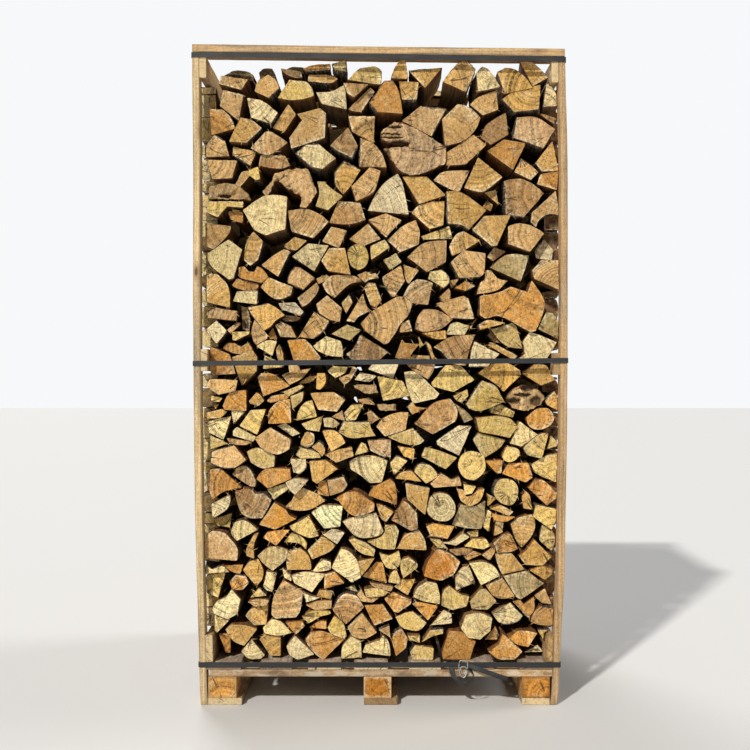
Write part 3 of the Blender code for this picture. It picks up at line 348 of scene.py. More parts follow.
class Graph:
    """A node tree and the one way in which nodes are added to it.

    Its noise is read at its place, and turned by its seed.
    """

    def __init__(self, tree):
        tree.nodes.clear()
        self.tree = tree
        self.place = None
        self.seed = 0.0

    def node(self, kind, settings=None, inputs=None, output=0):
        """Adds a node: its settings come first, then the values or links of its sockets."""
        made = self.tree.nodes.new(kind)
        for key, value in (settings or {}).items():
            setattr(made, key, value)
        for key, value in (inputs or {}).items():
            if isinstance(value, Term):
                self.tree.links.new(value.socket, made.inputs[key])
            else:
                made.inputs[key].default_value = value
        return Term(self, made.outputs[output]) if made.outputs else None

    def math(self, operation, *values):
        return self.node("ShaderNodeMath", {"operation": operation}, dict(enumerate(values)))

    def vector_math(self, operation, *values, output=0):
        return self.node("ShaderNodeVectorMath", {"operation": operation}, dict(enumerate(values)), output)

    def scaled(self, vector, factor):
        """A vector or colour times one number."""
        return self.node("ShaderNodeVectorMath", {"operation": "SCALE"}, {0: vector, "Scale": factor})

    def point(self, *parts):
        return self.node("ShaderNodeCombineXYZ", {}, dict(enumerate(parts)))

    def parts(self, vector):
        """A vector's three numbers."""
        first = self.node("ShaderNodeSeparateXYZ", {}, {0: vector})
        return [Term(self, socket) for socket in first.socket.node.outputs]

    def painted(self, colour, *layers):
        """A colour with others laid over it, each by a share from 0 to 1."""
        for share, over in layers:
            first, second = (c if isinstance(c, Term) else (*c, 1.0) for c in (colour, over))
            colour = self.node("ShaderNodeMix", {"data_type": "RGBA"}, {0: share, 6: first, 7: second}, 2)
        return colour

    def ramp(self, value, low, high):
        """0 at low, 1 at high, and smooth between them."""
        settings = {"interpolation_type": "SMOOTHSTEP"}
        return self.node("ShaderNodeMapRange", settings, {0: value, 1: low, 2: high})

    def noise(self, across, along=None, detail=2.0, turn=0.0, place=None, output=0):
        """Noise from about 0 to 1, so fine across the grain and along it, or so fine each way."""
        scale = (across, along or across, across) if isinstance(across, (int, float)) else across
        stretched = self.vector_math("MULTIPLY", place or self.place, scale)
        seed = self.seed + turn if turn else self.seed
        inputs = {"Vector": stretched, "W": seed, "Scale": 1.0, "Detail": detail}
        return self.node("ShaderNodeTexNoise", {"noise_dimensions": "4D"}, inputs, output)

    def shifted(self, across, along, reach):
        """The place moved by noise, so far each way."""
        shift = self.vector_math("MULTIPLY", self.noise(across, along, output=1), reach)
        return self.vector_math("ADD", self.place, shift)

    def share(self, factor):
        """A number from 0 to 1 that the seed decides."""
        return self.math("FRACT", self.seed * factor)

    def named(self, name, kind="FLOAT"):
        """A mesh's attribute in a Geometry Nodes tree."""
        return self.node("GeometryNodeInputNamedAttribute", {"data_type": kind}, {0: name})


class Term:
    """An output socket that Python's operators work on: each one adds a Math node."""

    def __init__(self, graph, socket):
        self.graph = graph
        self.socket = socket

    def __add__(self, other):
        return self.graph.math("ADD", self, other)

    def __sub__(self, other):
        return self.graph.math("SUBTRACT", self, other)

    def __rsub__(self, other):
        return self.graph.math("SUBTRACT", other, self)

    def __mul__(self, other):
        return self.graph.math("MULTIPLY", self, other)

    __radd__ = __add__
    __rmul__ = __mul__

    def swing(self, reach):
        """Noise as a number about 0."""
        return (self - 0.5) * reach

    def crease(self):
        """How far noise is from its middle value."""
        return self.graph.math("ABSOLUTE", self - 0.5)


def new_surface(name):
    material = bpy.data.materials.new(name)
    material.use_nodes = True
    graph = Graph(material.node_tree)
    graph.material = material
    return graph


def wood_surface(name):
    """A new material that reads what every wooden mesh carries: place in its own grain, tone, wear and seed.

    Wear's parts are how near the rim a point is, how much sapwood it has, and how decayed it is.
    """
    graph = new_surface(name)
    words = ("grain_place", 1), ("wood_tone", 0), ("seed", 2), ("wear", 1)
    graph.place, graph.tone, graph.seed, wear = (
        graph.node("ShaderNodeAttribute", {"attribute_name": word}, {}, output) for word, output in words
    )
    graph.rim, graph.sap, graph.decay = graph.parts(wear)
    return graph


def fitting_surface(name):
    """A new material whose noise is read at the object's own coordinates."""
    graph = new_surface(name)
    graph.place = graph.node("ShaderNodeTexCoord", {}, {}, "Object")
    return graph


def finished(graph, colour, roughness, height=None, bump=0.001, metallic=0.0):
    """The material, ended in a Principled BSDF, with a Bump node where it has a height in metres."""
    inputs = {"Base Color": colour, "Roughness": roughness, "Metallic": metallic}
    if height is not None:
        inputs["Normal"] = graph.node("ShaderNodeBump", {}, {"Distance": bump, "Height": height})
    surface = graph.node("ShaderNodeBsdfPrincipled", {}, inputs)
    graph.node("ShaderNodeOutputMaterial", {}, {"Surface": surface})
    return graph.material


def make_end_grain(name, ring_width, ray_share, contrast, rot_share=1.0):
    """Sawn end grain: rings and rays round the pith, saw marks, checks, and a rim that is darker on some logs
    and paler on others; the pale rim is partly pale torn fibres and partly a painted highlight of light on
    the chamfer.
    """
    wood = wood_surface(name)
    x, _, z = wood.parts(wood.place)
    wood.place = wood.point(x, 0.0, z)
    radius = wood.vector_math("LENGTH", wood.place, output=1) + wood.noise(22) * 0.016
    angle = wood.math("ARCTAN2", z, x)

    bands = wood.point(radius, 0.0, 0.0)
    wide_bands = wood.noise(95, detail=1.0, place=bands)
    fine_bands = wood.noise(1.3 / ring_width, detail=1.0, turn=2.0, place=bands)
    rays = wood.noise(1, place=wood.point(angle * 11.0, radius * 20.0, 0.0))
    saw = wood.noise((340, 1, 60), turn=7.0)
    speckle = wood.noise(430, turn=3.0)
    grit = wood.noise(210, detail=1.0, turn=41.0)
    mottle = wood.noise(120, detail=3.0, turn=13.0)
    blotch = wood.noise(24, turn=21.0)
    # How clearly each log's rings and saw marks show.
    ring_power = wood.share(7.31) * 0.9 + 0.45
    saw_power = wood.share(3.77)
    shade = 0.96 + contrast * (
        (wide_bands.swing(1.8) + fine_bands.swing(1.4)) * ring_power
        + rays.swing(ray_share)
        + saw.swing(0.9) * saw_power
        + speckle.swing(1.4)
        + grit.swing(1.1)
        + mottle.swing(1.6)
    )
    colour = wood.painted(
        wood.tone,
        (wood.ramp(wide_bands, 0.45, 0.75) * 0.35, (0.40, 0.215, 0.065)),
        (wood.ramp(blotch, 0.50, 0.70) * 0.40, (0.36, 0.205, 0.070)),
        (wood.ramp(blotch, 0.50, 0.30) * 0.28, (0.70, 0.56, 0.32)),
        (wood.sap * wood.ramp(mottle, 0.36, 0.56) * 0.60, (0.80, 0.69, 0.44)),
    )

    # Checks: dark cracks along the rays, of one width wherever they are. Pores and rot are dark too.
    check = wood.noise(1, turn=31.0, place=wood.point(angle * 2.6, radius * 3.0, 0.0)).crease() * radius
    reach = wood.ramp(wood.noise(26, detail=0.0, turn=5.0), 0.52, 0.60)
    crack = wood.ramp(check, 0.00085, 0.00025) * reach
    pores = wood.ramp(speckle, 0.61, 0.74) * 0.24
    rot = wood.ramp(wood.decay + mottle.swing(0.8), 0.30, 0.75) * rot_share
    dark = wood.math("MAXIMUM", wood.math("MAXIMUM", crack, pores), rot)
    edge = wood.ramp(wood.rim + mottle.swing(1.6), 0.45, 1.05)
    # Painted highlight: where torn is high, the rim is painted pale for light catching the chamfer as well as
    # for torn fibres. Elsewhere it is painted darker.
    torn = wood.ramp(wood.share(1.93), 0.30, 0.42)
    final = wood.painted(
        wood.scaled(colour, shade),
        (edge * torn * 0.62, (0.78, 0.64, 0.38)),
        (edge * (1 - torn) * 0.60, (0.16, 0.080, 0.030)),
        (dark * 0.85, (0.050, 0.024, 0.010)),
    )
    height = speckle * 0.8 + mottle * 0.8 + saw * saw_power * 0.5 + fine_bands * 0.25 - dark * 1.2
    return finished(wood, final, 0.82, height, 0.0016)


def make_split_face(name):
    """A split face: long torn fibres, with painted shade: darker and redder than the sawn end, most of all
    near it.
    """
    wood = wood_surface(name)
    fibres = wood.noise(380, 9, detail=3.0)
    strands = wood.noise(90, 3, detail=3.0, turn=9.0)
    stain = wood.noise(16, 7, turn=17.0)
    # Painted shade: near the sawn end the split face is painted dark red-brown for the shade in the gaps
    # between the logs. Deeper in, it turns a lighter brown.
    inner = wood.ramp(wood.parts(wood.place)[1], 0.03, 0.11)
    painted_shade_to_brown = wood.painted((0.29, 0.085, 0.016), (inner, (0.37, 0.20, 0.080)))
    stained_with_painted_shade = wood.painted(
        wood.tone,
        (0.74 - inner * 0.26, painted_shade_to_brown),
        (wood.ramp(stain, 0.50, 0.72) * 0.55, (0.20, 0.11, 0.055)),
    )
    # The painted shade also darkens the face most near its end. The fibres and strands are its grain.
    lit = wood.scaled(stained_with_painted_shade, 0.56 + inner * 0.20 + fibres.swing(1.3) + strands.swing(1.4))
    return finished(wood, lit, 0.85, fibres * 0.7 + strands * 1.5, 0.0032)


def make_bark(name):
    """Dry bark: ridges along the log, dark in the furrows, with pale lichen and bare patches."""
    wood = wood_surface(name)
    shifted = wood.shifted(60, 25, (0.007, 0.03, 0.007))
    furrow = wood.noise(70, 7, turn=2.0, place=shifted).crease()
    split = wood.noise(30, 55, detail=1.0, turn=6.0, place=shifted).crease()
    ridge = wood.ramp(furrow, 0.002, 0.075) * (wood.ramp(split, 0.0, 0.030) * 0.35 + 0.65)
    grit = wood.noise(300, 120, detail=4.0, turn=3.0)
    patch = wood.noise(20, 9, detail=3.0, turn=11.0)
    crust = wood.painted((0.150, 0.098, 0.060), (wood.share(5.13), (0.230, 0.180, 0.125)))
    bark = wood.painted(
        (0.050, 0.030, 0.018),
        (ridge, crust),
        (wood.ramp(patch, 0.48, 0.66) * ridge * 0.45, (0.33, 0.285, 0.215)),
        (wood.ramp(patch, 0.40, 0.32) * 0.75, (0.36, 0.19, 0.085)),
    )
    return finished(wood, wood.scaled(bark, 0.85 + grit.swing(1.5)), 0.92, ridge * 1.3 + grit * 0.5, 0.0028)


def make_sawn_board(name):
    """A rough-sawn softwood board: long grain with knots, saw marks across it and grey weather."""
    wood = wood_surface(name)
    growth = wood.noise(150, 2.4, place=wood.shifted(9, 2.2, (0.020, 0.0, 0.020)))
    fibres = wood.noise(520, 14, detail=3.0, turn=5.0)
    saw = wood.noise(8, 330, turn=8.0)
    weather = wood.noise(22, 5, detail=4.0, turn=15.0)
    grit = wood.noise(330, 160, turn=25.0)
    peel = wood.noise(55, 24, detail=3.0, turn=33.0)
    knot_place = wood.vector_math("MULTIPLY", wood.place, (16, 5.5, 16))
    knots = wood.node(
        "ShaderNodeTexVoronoi",
        {"voronoi_dimensions": "4D"},
        {"Vector": knot_place, "W": wood.seed, "Scale": 1.0},
    )
    knot = wood.ramp(knots, 0.13, 0.07)
    weathered = wood.painted(
        wood.tone,
        (wood.ramp(weather, 0.46, 0.72) * 0.40, (0.30, 0.25, 0.19)),
        (wood.ramp(weather, 0.46, 0.30) * 0.35, (0.50, 0.30, 0.12)),
    )
    shade = 0.95 + growth.swing(1.5) + fibres.swing(0.9) + saw.swing(0.55) + grit.swing(1.3)
    final = wood.painted(
        wood.scaled(weathered, shade),
        (wood.ramp(peel, 0.50, 0.60) * wood.decay * 0.75, (0.74, 0.66, 0.52)),
        (wood.ramp(peel, 0.47, 0.36) * wood.decay * 0.70, (0.17, 0.10, 0.055)),
        (wood.ramp(knots, 0.26, 0.12) * 0.45, (0.26, 0.125, 0.045)),
        (knot * 0.85, (0.085, 0.042, 0.018)),
        (wood.ramp(wood.rim + weather.swing(1.2), 0.55, 1.0) * 0.35, (0.12, 0.085, 0.055)),
    )
    height = growth * 0.35 + fibres * 0.5 + saw * 0.6 - knot * 0.3
    return finished(wood, final, 0.80, height, 0.0009)


def make_strap_material():
    """A woven strap: dark, with fine ribs along it and a dusty sheen."""
    strap = fitting_surface("woven_strap")
    ribs = strap.math("SINE", strap.parts(strap.place)[2] * (math.tau / STRAP_RIB)) * 0.5 + 0.5
    weave = strap.noise(900)
    dust = strap.ramp(strap.noise((14, 14, 60), detail=4.0), 0.42, 0.75) * 0.5
    base = strap.painted((0.016, 0.018, 0.021), (dust, (0.060, 0.063, 0.066)))
    lit = strap.scaled(base, 0.70 + ribs * 0.45 + weave.swing(0.5))
    return finished(strap, lit, 0.52, ribs * 0.7 + weave * 0.5, 0.0003)


def make_wire_material():
    """Dull galvanised wire with small dark marks."""
    wire = fitting_surface("galvanised_wire")
    spangle = wire.noise(500, detail=3.0)
    marks = wire.noise(140, detail=4.0)
    colour = wire.painted(
        (0.46, 0.46, 0.45),
        (wire.ramp(spangle, 0.35, 0.7), (0.78, 0.78, 0.76)),
        (wire.ramp(marks, 0.56, 0.70) * 0.7, (0.12, 0.10, 0.08)),
    )
    return finished(wire, colour, 0.34 + spangle * 0.2, spangle, 0.0002, metallic=0.75)


def make_nail_material():
    """A nail head, grey with a little rust."""
    nail = fitting_surface("nail_head")
    rust = nail.noise(420, detail=4.0)
    colour = nail.painted((0.30, 0.29, 0.28), (nail.ramp(rust, 0.46, 0.66), (0.16, 0.07, 0.03)))
    return finished(nail, colour, 0.55, rust, 0.0002, metallic=0.6)


def make_splinter_material():
    """Torn wood fibres, pale and brown."""
    wood = fitting_surface("torn_splinter")
    fibre = wood.noise(700)
    base = wood.painted((0.66, 0.46, 0.23), (wood.ramp(wood.noise(60), 0.40, 0.62), (0.34, 0.17, 0.065)))
    return finished(wood, wood.scaled(base, 0.6 + fibre * 0.8), 0.86, fibre, 0.0003)


# A log's materials, and what each number among them is.
LOG_MATERIALS = (
    make_end_grain("sawn_log_end", 0.0042, 0.55, 1.0),
    make_split_face("split_log_face"),
    make_bark("log_bark"),
)
CUT, SPLIT, BARK = range(3)
BOARD_MATERIALS = (
    make_sawn_board("sawn_board"),
    make_end_grain("board_end", 0.0060, 0.10, 0.9, rot_share=0.0),
)
BOARD_SIDE, BOARD_END = range(2)
STRAP = make_strap_material()
WIRE = make_wire_material()


def open_tree(name, sizes):
    """The graph of a new Geometry Nodes tree, and its inputs: the geometry and then the named sizes."""
    tree = bpy.data.node_groups.new(name, "GeometryNodeTree")
    for way in ("OUTPUT", "INPUT"):
        tree.interface.new_socket("Geometry", in_out=way, socket_type="NodeSocketGeometry")
    for word, size in sizes.items():
        tree.interface.new_socket(word, in_out="INPUT", socket_type="NodeSocketFloat").default_value = size
    graph = Graph(tree)
    entry = tree.nodes.new("NodeGroupInput")
    return graph, [Term(graph, entry.outputs[word]) for word in ("Geometry", *sizes)]


def rough_surface_tree():
    """Geometry Nodes that push a mesh's points along their normals by noise in its own grain.

    Each point's attribute "rough" says how far at most, in metres.
    """
    graph, (geometry, across, along, fine_share, wave_share) = open_tree("rough_surface", {
        "Lumps Across": 60.0, "Lumps Along": 14.0, "Fine Share": 0.5, "Wave Share": 1.0,
    })
    place = graph.named("grain_place", "FLOAT_VECTOR")
    graph.seed = graph.named("seed")
    scale = graph.point(across, along, across)

    def lumps(finer, detail, turn):
        finer_place = graph.vector_math("MULTIPLY", place, (finer, finer, finer))
        return graph.noise(scale, detail=detail, turn=turn, place=finer_place) - 0.5

    push = lumps(1.0, 1.0, 0.0) + lumps(3.1, 1.0, 4.0) * fine_share + lumps(0.28, 0.0, 9.0) * wave_share
    offset = graph.scaled(graph.node("GeometryNodeInputNormal"), push * graph.named("rough") * 3.0)
    moved = graph.node("GeometryNodeSetPosition", {}, {"Geometry": geometry, "Offset": offset})
    graph.node("NodeGroupOutput", {}, {0: moved})
    return graph.tree


def scattered_tree(name, shape, corners, sizes, material):
    """Geometry Nodes that set a shape on every point, along its "facing" and "stretch" times as long.

    The sizes are the tree's inputs: for each, its name, the shape's socket that it sets, and its value.
    """
    words, sockets, values = zip(*sizes)
    graph, (geometry, *terms) = open_tree(name, dict(zip(words, values)))
    one = graph.node(shape, {}, {"Vertices": corners, **dict(zip(sockets, terms))})
    facing = graph.named("facing", "FLOAT_VECTOR")
    turn = graph.node("FunctionNodeAlignRotationToVector", {"axis": "Z"}, {"Vector": facing})
    scale = graph.point(1.0, 1.0, graph.named("stretch"))
    inputs = {"Points": geometry, "Instance": one, "Rotation": turn, "Scale": scale}
    placed = graph.node("GeometryNodeInstanceOnPoints", {}, inputs)
    real = graph.node("GeometryNodeRealizeInstances", {}, {0: placed})
    dressed = graph.node("GeometryNodeSetMaterial", {}, {"Geometry": real, "Material": material})
    graph.node("NodeGroupOutput", {}, {0: dressed})
    return graph.tree


ROUGH_SURFACE = rough_surface_tree()
NAIL_HEADS = scattered_tree("nail_heads", "GeometryNodeMeshCylinder", 10, (
    ("Head Radius", "Radius", 0.0034),
    ("Head Height", "Depth", 0.0016),
), make_nail_material())
TORN_FIBRES = scattered_tree("torn_fibres", "GeometryNodeMeshCone", 4, (
    ("Fibre Width", "Radius Bottom", 0.0013),
    ("Fibre Length", "Depth", 0.020),
), make_splinter_material())


def new_object(name, data):
    made = bpy.data.objects.new(name, data)
    bpy.context.scene.collection.objects.link(made)
    return made


def apply_tree(piece, tree, **values):
    """Runs a Geometry Nodes tree on a piece and keeps the result as its plain mesh."""
    modifier = piece.modifiers.new(tree.name, "NODES")
    modifier.node_group = tree
    sockets = {socket.name: socket.identifier for socket in tree.interface.items_tree}
    for name, value in values.items():
        modifier[sockets[name.replace("_", " ").title()]] = value
    bpy.context.view_layer.update()
    depsgraph = bpy.context.evaluated_depsgraph_get()
    mesh = bpy.data.meshes.new_from_object(piece.evaluated_get(depsgraph), depsgraph=depsgraph)
    piece.modifiers.remove(modifier)
    old = piece.data
    piece.data = mesh
    bpy.data.meshes.remove(old)
    mesh.name = piece.name


def set_attribute(mesh, name, kind, values):
    attribute = mesh.attributes.new(name, kind, "POINT")
    field = {"FLOAT": "value", "FLOAT_VECTOR": "vector", "FLOAT_COLOR": "color"}[kind]
    attribute.data.foreach_set(field, np.asarray(values, dtype=np.float32).ravel())


def smooth(mesh, degrees):
    mesh.shade_smooth()
    mesh.set_sharp_from_angle(angle=math.radians(degrees))


def hand_over(piece, nodes):
    """Fixes a piece to the crate, in place of the nodes that it stands for."""
    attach(piece, "root")
    if nodes:
        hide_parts(*nodes)


class WoodMesh:
    """Grows one joined wooden mesh, with the attributes that its materials and its roughness read."""

    ATTRIBUTES = {
        "grain_place": "FLOAT_VECTOR",
        "wood_tone": "FLOAT_COLOR",
        "wear": "FLOAT_VECTOR",
        "rough": "FLOAT",
        "seed": "FLOAT",
    }

    def __init__(self, name, materials):
        self.name = name
        self.materials = materials
        self.points = []
        self.values = {word: [] for word in self.ATTRIBUTES}
        self.faces = []
        self.slots = []

    def add_points(self, points, places, tone, wears, roughs, seed):
        """Adds points and returns the number of the first one."""
        first = len(self.points)
        self.points += points
        tones = [(*tone, 1.0)] * len(points)
        seeds = [seed] * len(points)
        for word, values in zip(self.ATTRIBUTES, (places, tones, wears, roughs, seeds)):
            self.values[word] += values
        return first

    def add_face(self, corners, slot):
        self.faces.append(corners)
        self.slots.append(slot)

    def finish(self, slot, nodes, **roughness):
        mesh = bpy.data.meshes.new(self.name)
        mesh.from_pydata(self.points, [], self.faces)
        for material in self.materials:
            mesh.materials.append(material)
        mesh.polygons.foreach_set("material_index", self.slots)
        for word, kind in self.ATTRIBUTES.items():
            set_attribute(mesh, word, kind, self.values[word])
        mesh.update()
        piece = new_object(self.name, mesh)
        apply_tree(piece, ROUGH_SURFACE, **roughness)
        smooth(piece.data, SMOOTH_ANGLE)
        hand_over(piece, nodes)
        return piece


def pixel_place(px, py):
    """A pixel as x and z in the plane of the crate's front."""
    return (px - PIXEL_OF_X0) * METRES_PER_PIXEL, (PIXEL_OF_GROUND - py) * METRES_PER_PIXEL


def plan_point(px, py):
    """A pixel as a point in x and z of the log ends' plane, which lies a little deeper."""
    return Vector(pixel_place(*(eye + (at - eye) * LOG_PLANE_SCALE for at, eye in zip((px, py), EYE_PIXEL))))


def numbers(text):
    return [float(value) for value in text.split()]


def sides_of(outline):
    """Each corner with the next one, all the way round."""
    return zip(outline, outline[1:] + outline[:1])


def corners_of(outline):
    """Each corner between the one before it and the one after it."""
    return zip(outline[-1:] + outline[:-1], outline, outline[1:] + outline[:1])


def cross(a, b):
    """Twice the area between two arrows; positive where the second turns left of the first."""
    return a.x * b.y - a.y * b.x


def doubled_area(outline):
    return sum(cross(a, b) for a, b in sides_of(outline))


def centre_of(outline):
    """The middle of a polygon's area."""
    x = sum((a.x + b.x) * cross(a, b) for a, b in sides_of(outline))
    z = sum((a.y + b.y) * cross(a, b) for a, b in sides_of(outline))
    return Vector((x, z)) / (3 * doubled_area(outline))


def counterclockwise(outline):
    return outline if doubled_area(outline) >= 0 else outline[::-1]


def moved_outline(outline, distance):
    """The outline moved outwards by a distance."""
    moved = []
    for before, here, after in corners_of(outline):
        first = (here - before).normalized()
        second = (after - here).normalized()
        normal = Vector((first.y, -first.x))
        outward = normal + Vector((second.y, -second.x))
        if outward.length < 0.2:
            moved.append(here.copy())
            continue
        outward.normalize()
        moved.append(here + outward * distance / max(outward.dot(normal), 0.6))
    return moved


def leant_left(point):
    """The point moved a little towards the left posts, where the pile leans on them."""
    share = min(max((-point.x - LEFT_LEAN_START) / LEFT_LEAN_WIDTH, 0.0), 1.0)
    return Vector((point.x - LEFT_LEAN * share, point.y))


def log_ends_of(node):
    """The flat log ends of a solid's front, as (outline, depth)."""
    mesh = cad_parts[node].data
    groups = {}
    for face in mesh.polygons:
        if face.normal.y < -0.99:
            corners = [mesh.vertices[i].co for i in face.vertices]
            if corners[0].y < DEEPEST_END:
                groups.setdefault(round(corners[0].y / SETBACK_STEP), []).append(corners)
    ends = []
    for corners_of_faces in groups.values():
        places = {}
        edges = set()
        depth = corners_of_faces[0][0].y
        for corners in corners_of_faces:
            keys = []
            for corner in corners:
                key = (round(corner.x * CORNER_STEPS_PER_METRE), round(corner.z * CORNER_STEPS_PER_METRE))
                places[key] = Vector((corner.x, corner.z))
                keys.append(key)
            edges |= {(keys[0], keys[1]), (keys[1], keys[2]), (keys[2], keys[0])}
        following = {a: b for a, b in edges if (b, a) not in edges}
        while following:
            start, here = following.popitem()
            loop = [start]
            while here != start and here in following:
                loop.append(here)
                here = following.pop(here)
            outline = [leant_left(places[key]) for key in loop]
            if len(outline) > 2 and doubled_area(outline) > SMALLEST_END:
                ends.append((outline, depth))
    return ends


def small_log_ends(chance):
    """The smallest logs' ends, in the same form."""
    ends = []
    for line in SMALL_LOGS.strip().splitlines():
        setbacks = DEEP_SETBACKS if line.startswith("-") else SMALL_SETBACKS
        outline = [plan_point(*numbers(corner)) for corner in line.strip("- ").split(",")]
        ends.append((counterclockwise(outline), FRONT_NEAR + chance.uniform(*setbacks)))
    return ends


def room_limits(word, side):
    """One side of the logs' room: heights, how far out the posts' inner faces are there, and the rails."""
    inner = {}
    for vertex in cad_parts[f"front_post_{word}"].data.vertices:
        height = round(vertex.co.z, 3)
        inner[height] = min(inner.get(height, 9.0), side * vertex.co.x)
    heights = sorted(inner)
    rails = []
    for rail in RAILS:
        low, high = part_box(f"{rail}_rail_{word}")
        rails.append((low.z, high.z, low.x if side > 0 else -high.x))
    return heights, [inner[height] for height in heights], rails


ROOM = {side: room_limits(word, side) for word, side in SIDES}


def post_reach(side, z):
    """How far out a side's posts' inner faces are at a height."""
    heights, reaches, _ = ROOM[side]
    return float(np.interp(z, heights, reaches))


def room_reach(side, z, bulge):
    """How far out a log may stand on a side at a height."""
    reach = post_reach(side, z) + bulge
    for low, high, rail_reach in ROOM[side][2]:
        if low - LOG_CLEARANCE < z < high + LOG_CLEARANCE:
            reach = min(reach, rail_reach)
    return reach - LOG_CLEARANCE


def kept_in_room(x, z, bulge=0.0):
    """The place moved into the logs' room, which may bulge by some millimetres between the posts."""
    z = min(max(z, FLOOR_OF_ROOM), TOP_OF_ROOM)
    side = -1 if x < 0 else 1
    return (side * min(abs(x), room_reach(side, z, bulge)), z)


def bulge_allowed(y):
    """How far logs may reach out past the posts' inner faces at a depth: not at all beside a post."""
    from_post = min(y - FRONT, BACK - y) - POST_DEPTH
    return min(max(from_post - 0.002, 0.0) * 0.8, LARGEST_BULGE)


def corner_turns(outline):
    """How sharply the outline turns at each point, in degrees; negative where it bends inwards."""
    turns = []
    for before, here, after in corners_of(outline):
        first = here - before
        second = after - here
        turns.append(math.degrees(math.atan2(cross(first, second), first.dot(second))))
    return turns


class LogShape:
    """What is decided once for a log: its pith, which sides are the outside of the round, tone and seed."""

    def __init__(self, outline, kind, chance):
        self.seed = chance.uniform(0, 400)
        self.tilt = (chance.gauss(0, TILT), chance.gauss(0, TILT))
        self.sap = chance.choice((0.0, 0.5, 1.0, 1.0))
        self.middle = centre_of(outline)
        light = UPPER_LIGHT if self.middle.y > MIX_HEIGHT else LOWER_LIGHT
        self.tone = tuple(value * light for value in varied(kind, chance))
        turns = corner_turns(outline)
        count = len(outline)
        sharp = [i for i in range(count) if turns[i] > BARK_ANGLE]
        self.has_bark = chance.random() < BARK_SHARE
        self.thick_bark = chance.random() < THICK_BARK_SHARE
        if len(sharp) <= 2 or len(sharp) < count * 0.3:
            self.pith = self.middle + Vector((chance.gauss(0, PITH_SPREAD), chance.gauss(0, PITH_SPREAD)))
            self.outer = [True] * count
            return
        tip = max(sharp, key=lambda i: turns[i])
        beyond = chance.uniform(0.0, 0.5)
        if turns[tip] < BLUNT_TIP:
            beyond = chance.uniform(0.3, 1.3)
        self.pith = outline[tip] + (outline[tip] - self.middle) * beyond
        # The sides between the second corners on either hand of the tip are the outside of the round.
        order = sharp[sharp.index(tip):] + sharp[:sharp.index(tip)]
        self.outer = [False] * count
        i = order[1]
        while i != order[-1]:
            self.outer[i] = True
            i = (i + 1) % count

    def lean(self, point):
        """How far back a point of the end lies, because the saw cut wasn't quite square."""
        return self.tilt[0] * (point.x - self.middle.x) + self.tilt[1] * (point.y - self.middle.y)

    def grain(self, point, along):
        return (point.x - self.pith.x, along, point.y - self.pith.y)


def refined(outline, shape, step):
    """The outline with rounded corners and smooth arcs, in short sides, and which are the round's outside."""
    points = []
    outer = []
    count = len(outline)
    turns = corner_turns(outline)
    for i in range(count):
        after_next = (i + 2) % count
        here = outline[i]
        after = outline[(i + 1) % count]
        side = after - here
        soft_start = abs(turns[i]) < SOFT_CORNER
        soft_stop = abs(turns[(i + 1) % count]) < SOFT_CORNER
        leave = (after - outline[i - 1]).normalized() * side.length if soft_start else side
        arrive = (outline[after_next] - here).normalized() * side.length if soft_stop else side
        inset = min(CORNER_ROUNDING / side.length, 0.25)
        start = 0.0 if soft_start else inset
        stop = 1.0 if soft_stop else 1.0 - inset
        pieces = max(1, round((stop - start) * side.length / step))
        for k in range(pieces + (0 if soft_stop else 1)):
            t = start + (stop - start) * k / pieces
            points.append(
                here * (2 * t**3 - 3 * t**2 + 1)
                + leave * (t**3 - 2 * t**2 + t)
                + after * (3 * t**2 - 2 * t**3)
                + arrive * (t**3 - t**2)
            )
            outer.append(shape.outer[i])
        if not soft_stop:
            outer[-1] = shape.outer[i] and shape.outer[(i + 1) % count]
    return points, outer


def add_crack(points, outer, shape, chance):
    """Opens a check from the rim towards the pith: three points, whose middle one goes deep."""
    best = max(range(len(points)), key=lambda i: (points[i] - shape.pith).length * chance.uniform(0.7, 1.0))
    rim = points[best]
    length = (shape.pith - rim).length
    along = (points[(best + 1) % len(points)] - points[best - 1]).normalized()
    width = chance.uniform(0.0008, 0.0019)
    tip = rim.lerp(shape.pith, chance.uniform(0.3, 0.8) if length < 0.08 else 0.045 / length)
    points[best:best + 1] = [rim - along * width, rim.copy(), rim + along * width]
    outer[best:best + 1] = [outer[best - 1], outer[best], outer[best]]
    return best + 1, tip


def is_star(points, middle):
    """True where every side turns the same way about the middle, so that an inner ring can be drawn."""
    return all(
        (a.x - middle.x) * (b.y - middle.y) - (a.y - middle.y) * (b.x - middle.x) > 1e-8
        for a, b in zip(points, points[1:] + points[:1])
    )


def ragged(points, seed):
    """The outline torn in and out by noise."""
    torn = []
    for before, here, after in corners_of(points):
        along = (after - before).normalized()
        spot = Vector((here.x, seed, here.y))
        push = noise.noise(spot * 75) * 0.0032 + noise.noise(spot * 210) * 0.0018 - 0.0006
        torn.append(here + Vector((along.y, -along.x)) * push)
    return torn


def cut_across(build, spot, normal, slack):
    """Cuts every face that a plane meets."""
    geometry = [*build.verts, *build.edges, *build.faces]
    bmesh.ops.bisect_plane(build, geom=geometry, dist=slack, plane_co=spot, plane_no=normal)


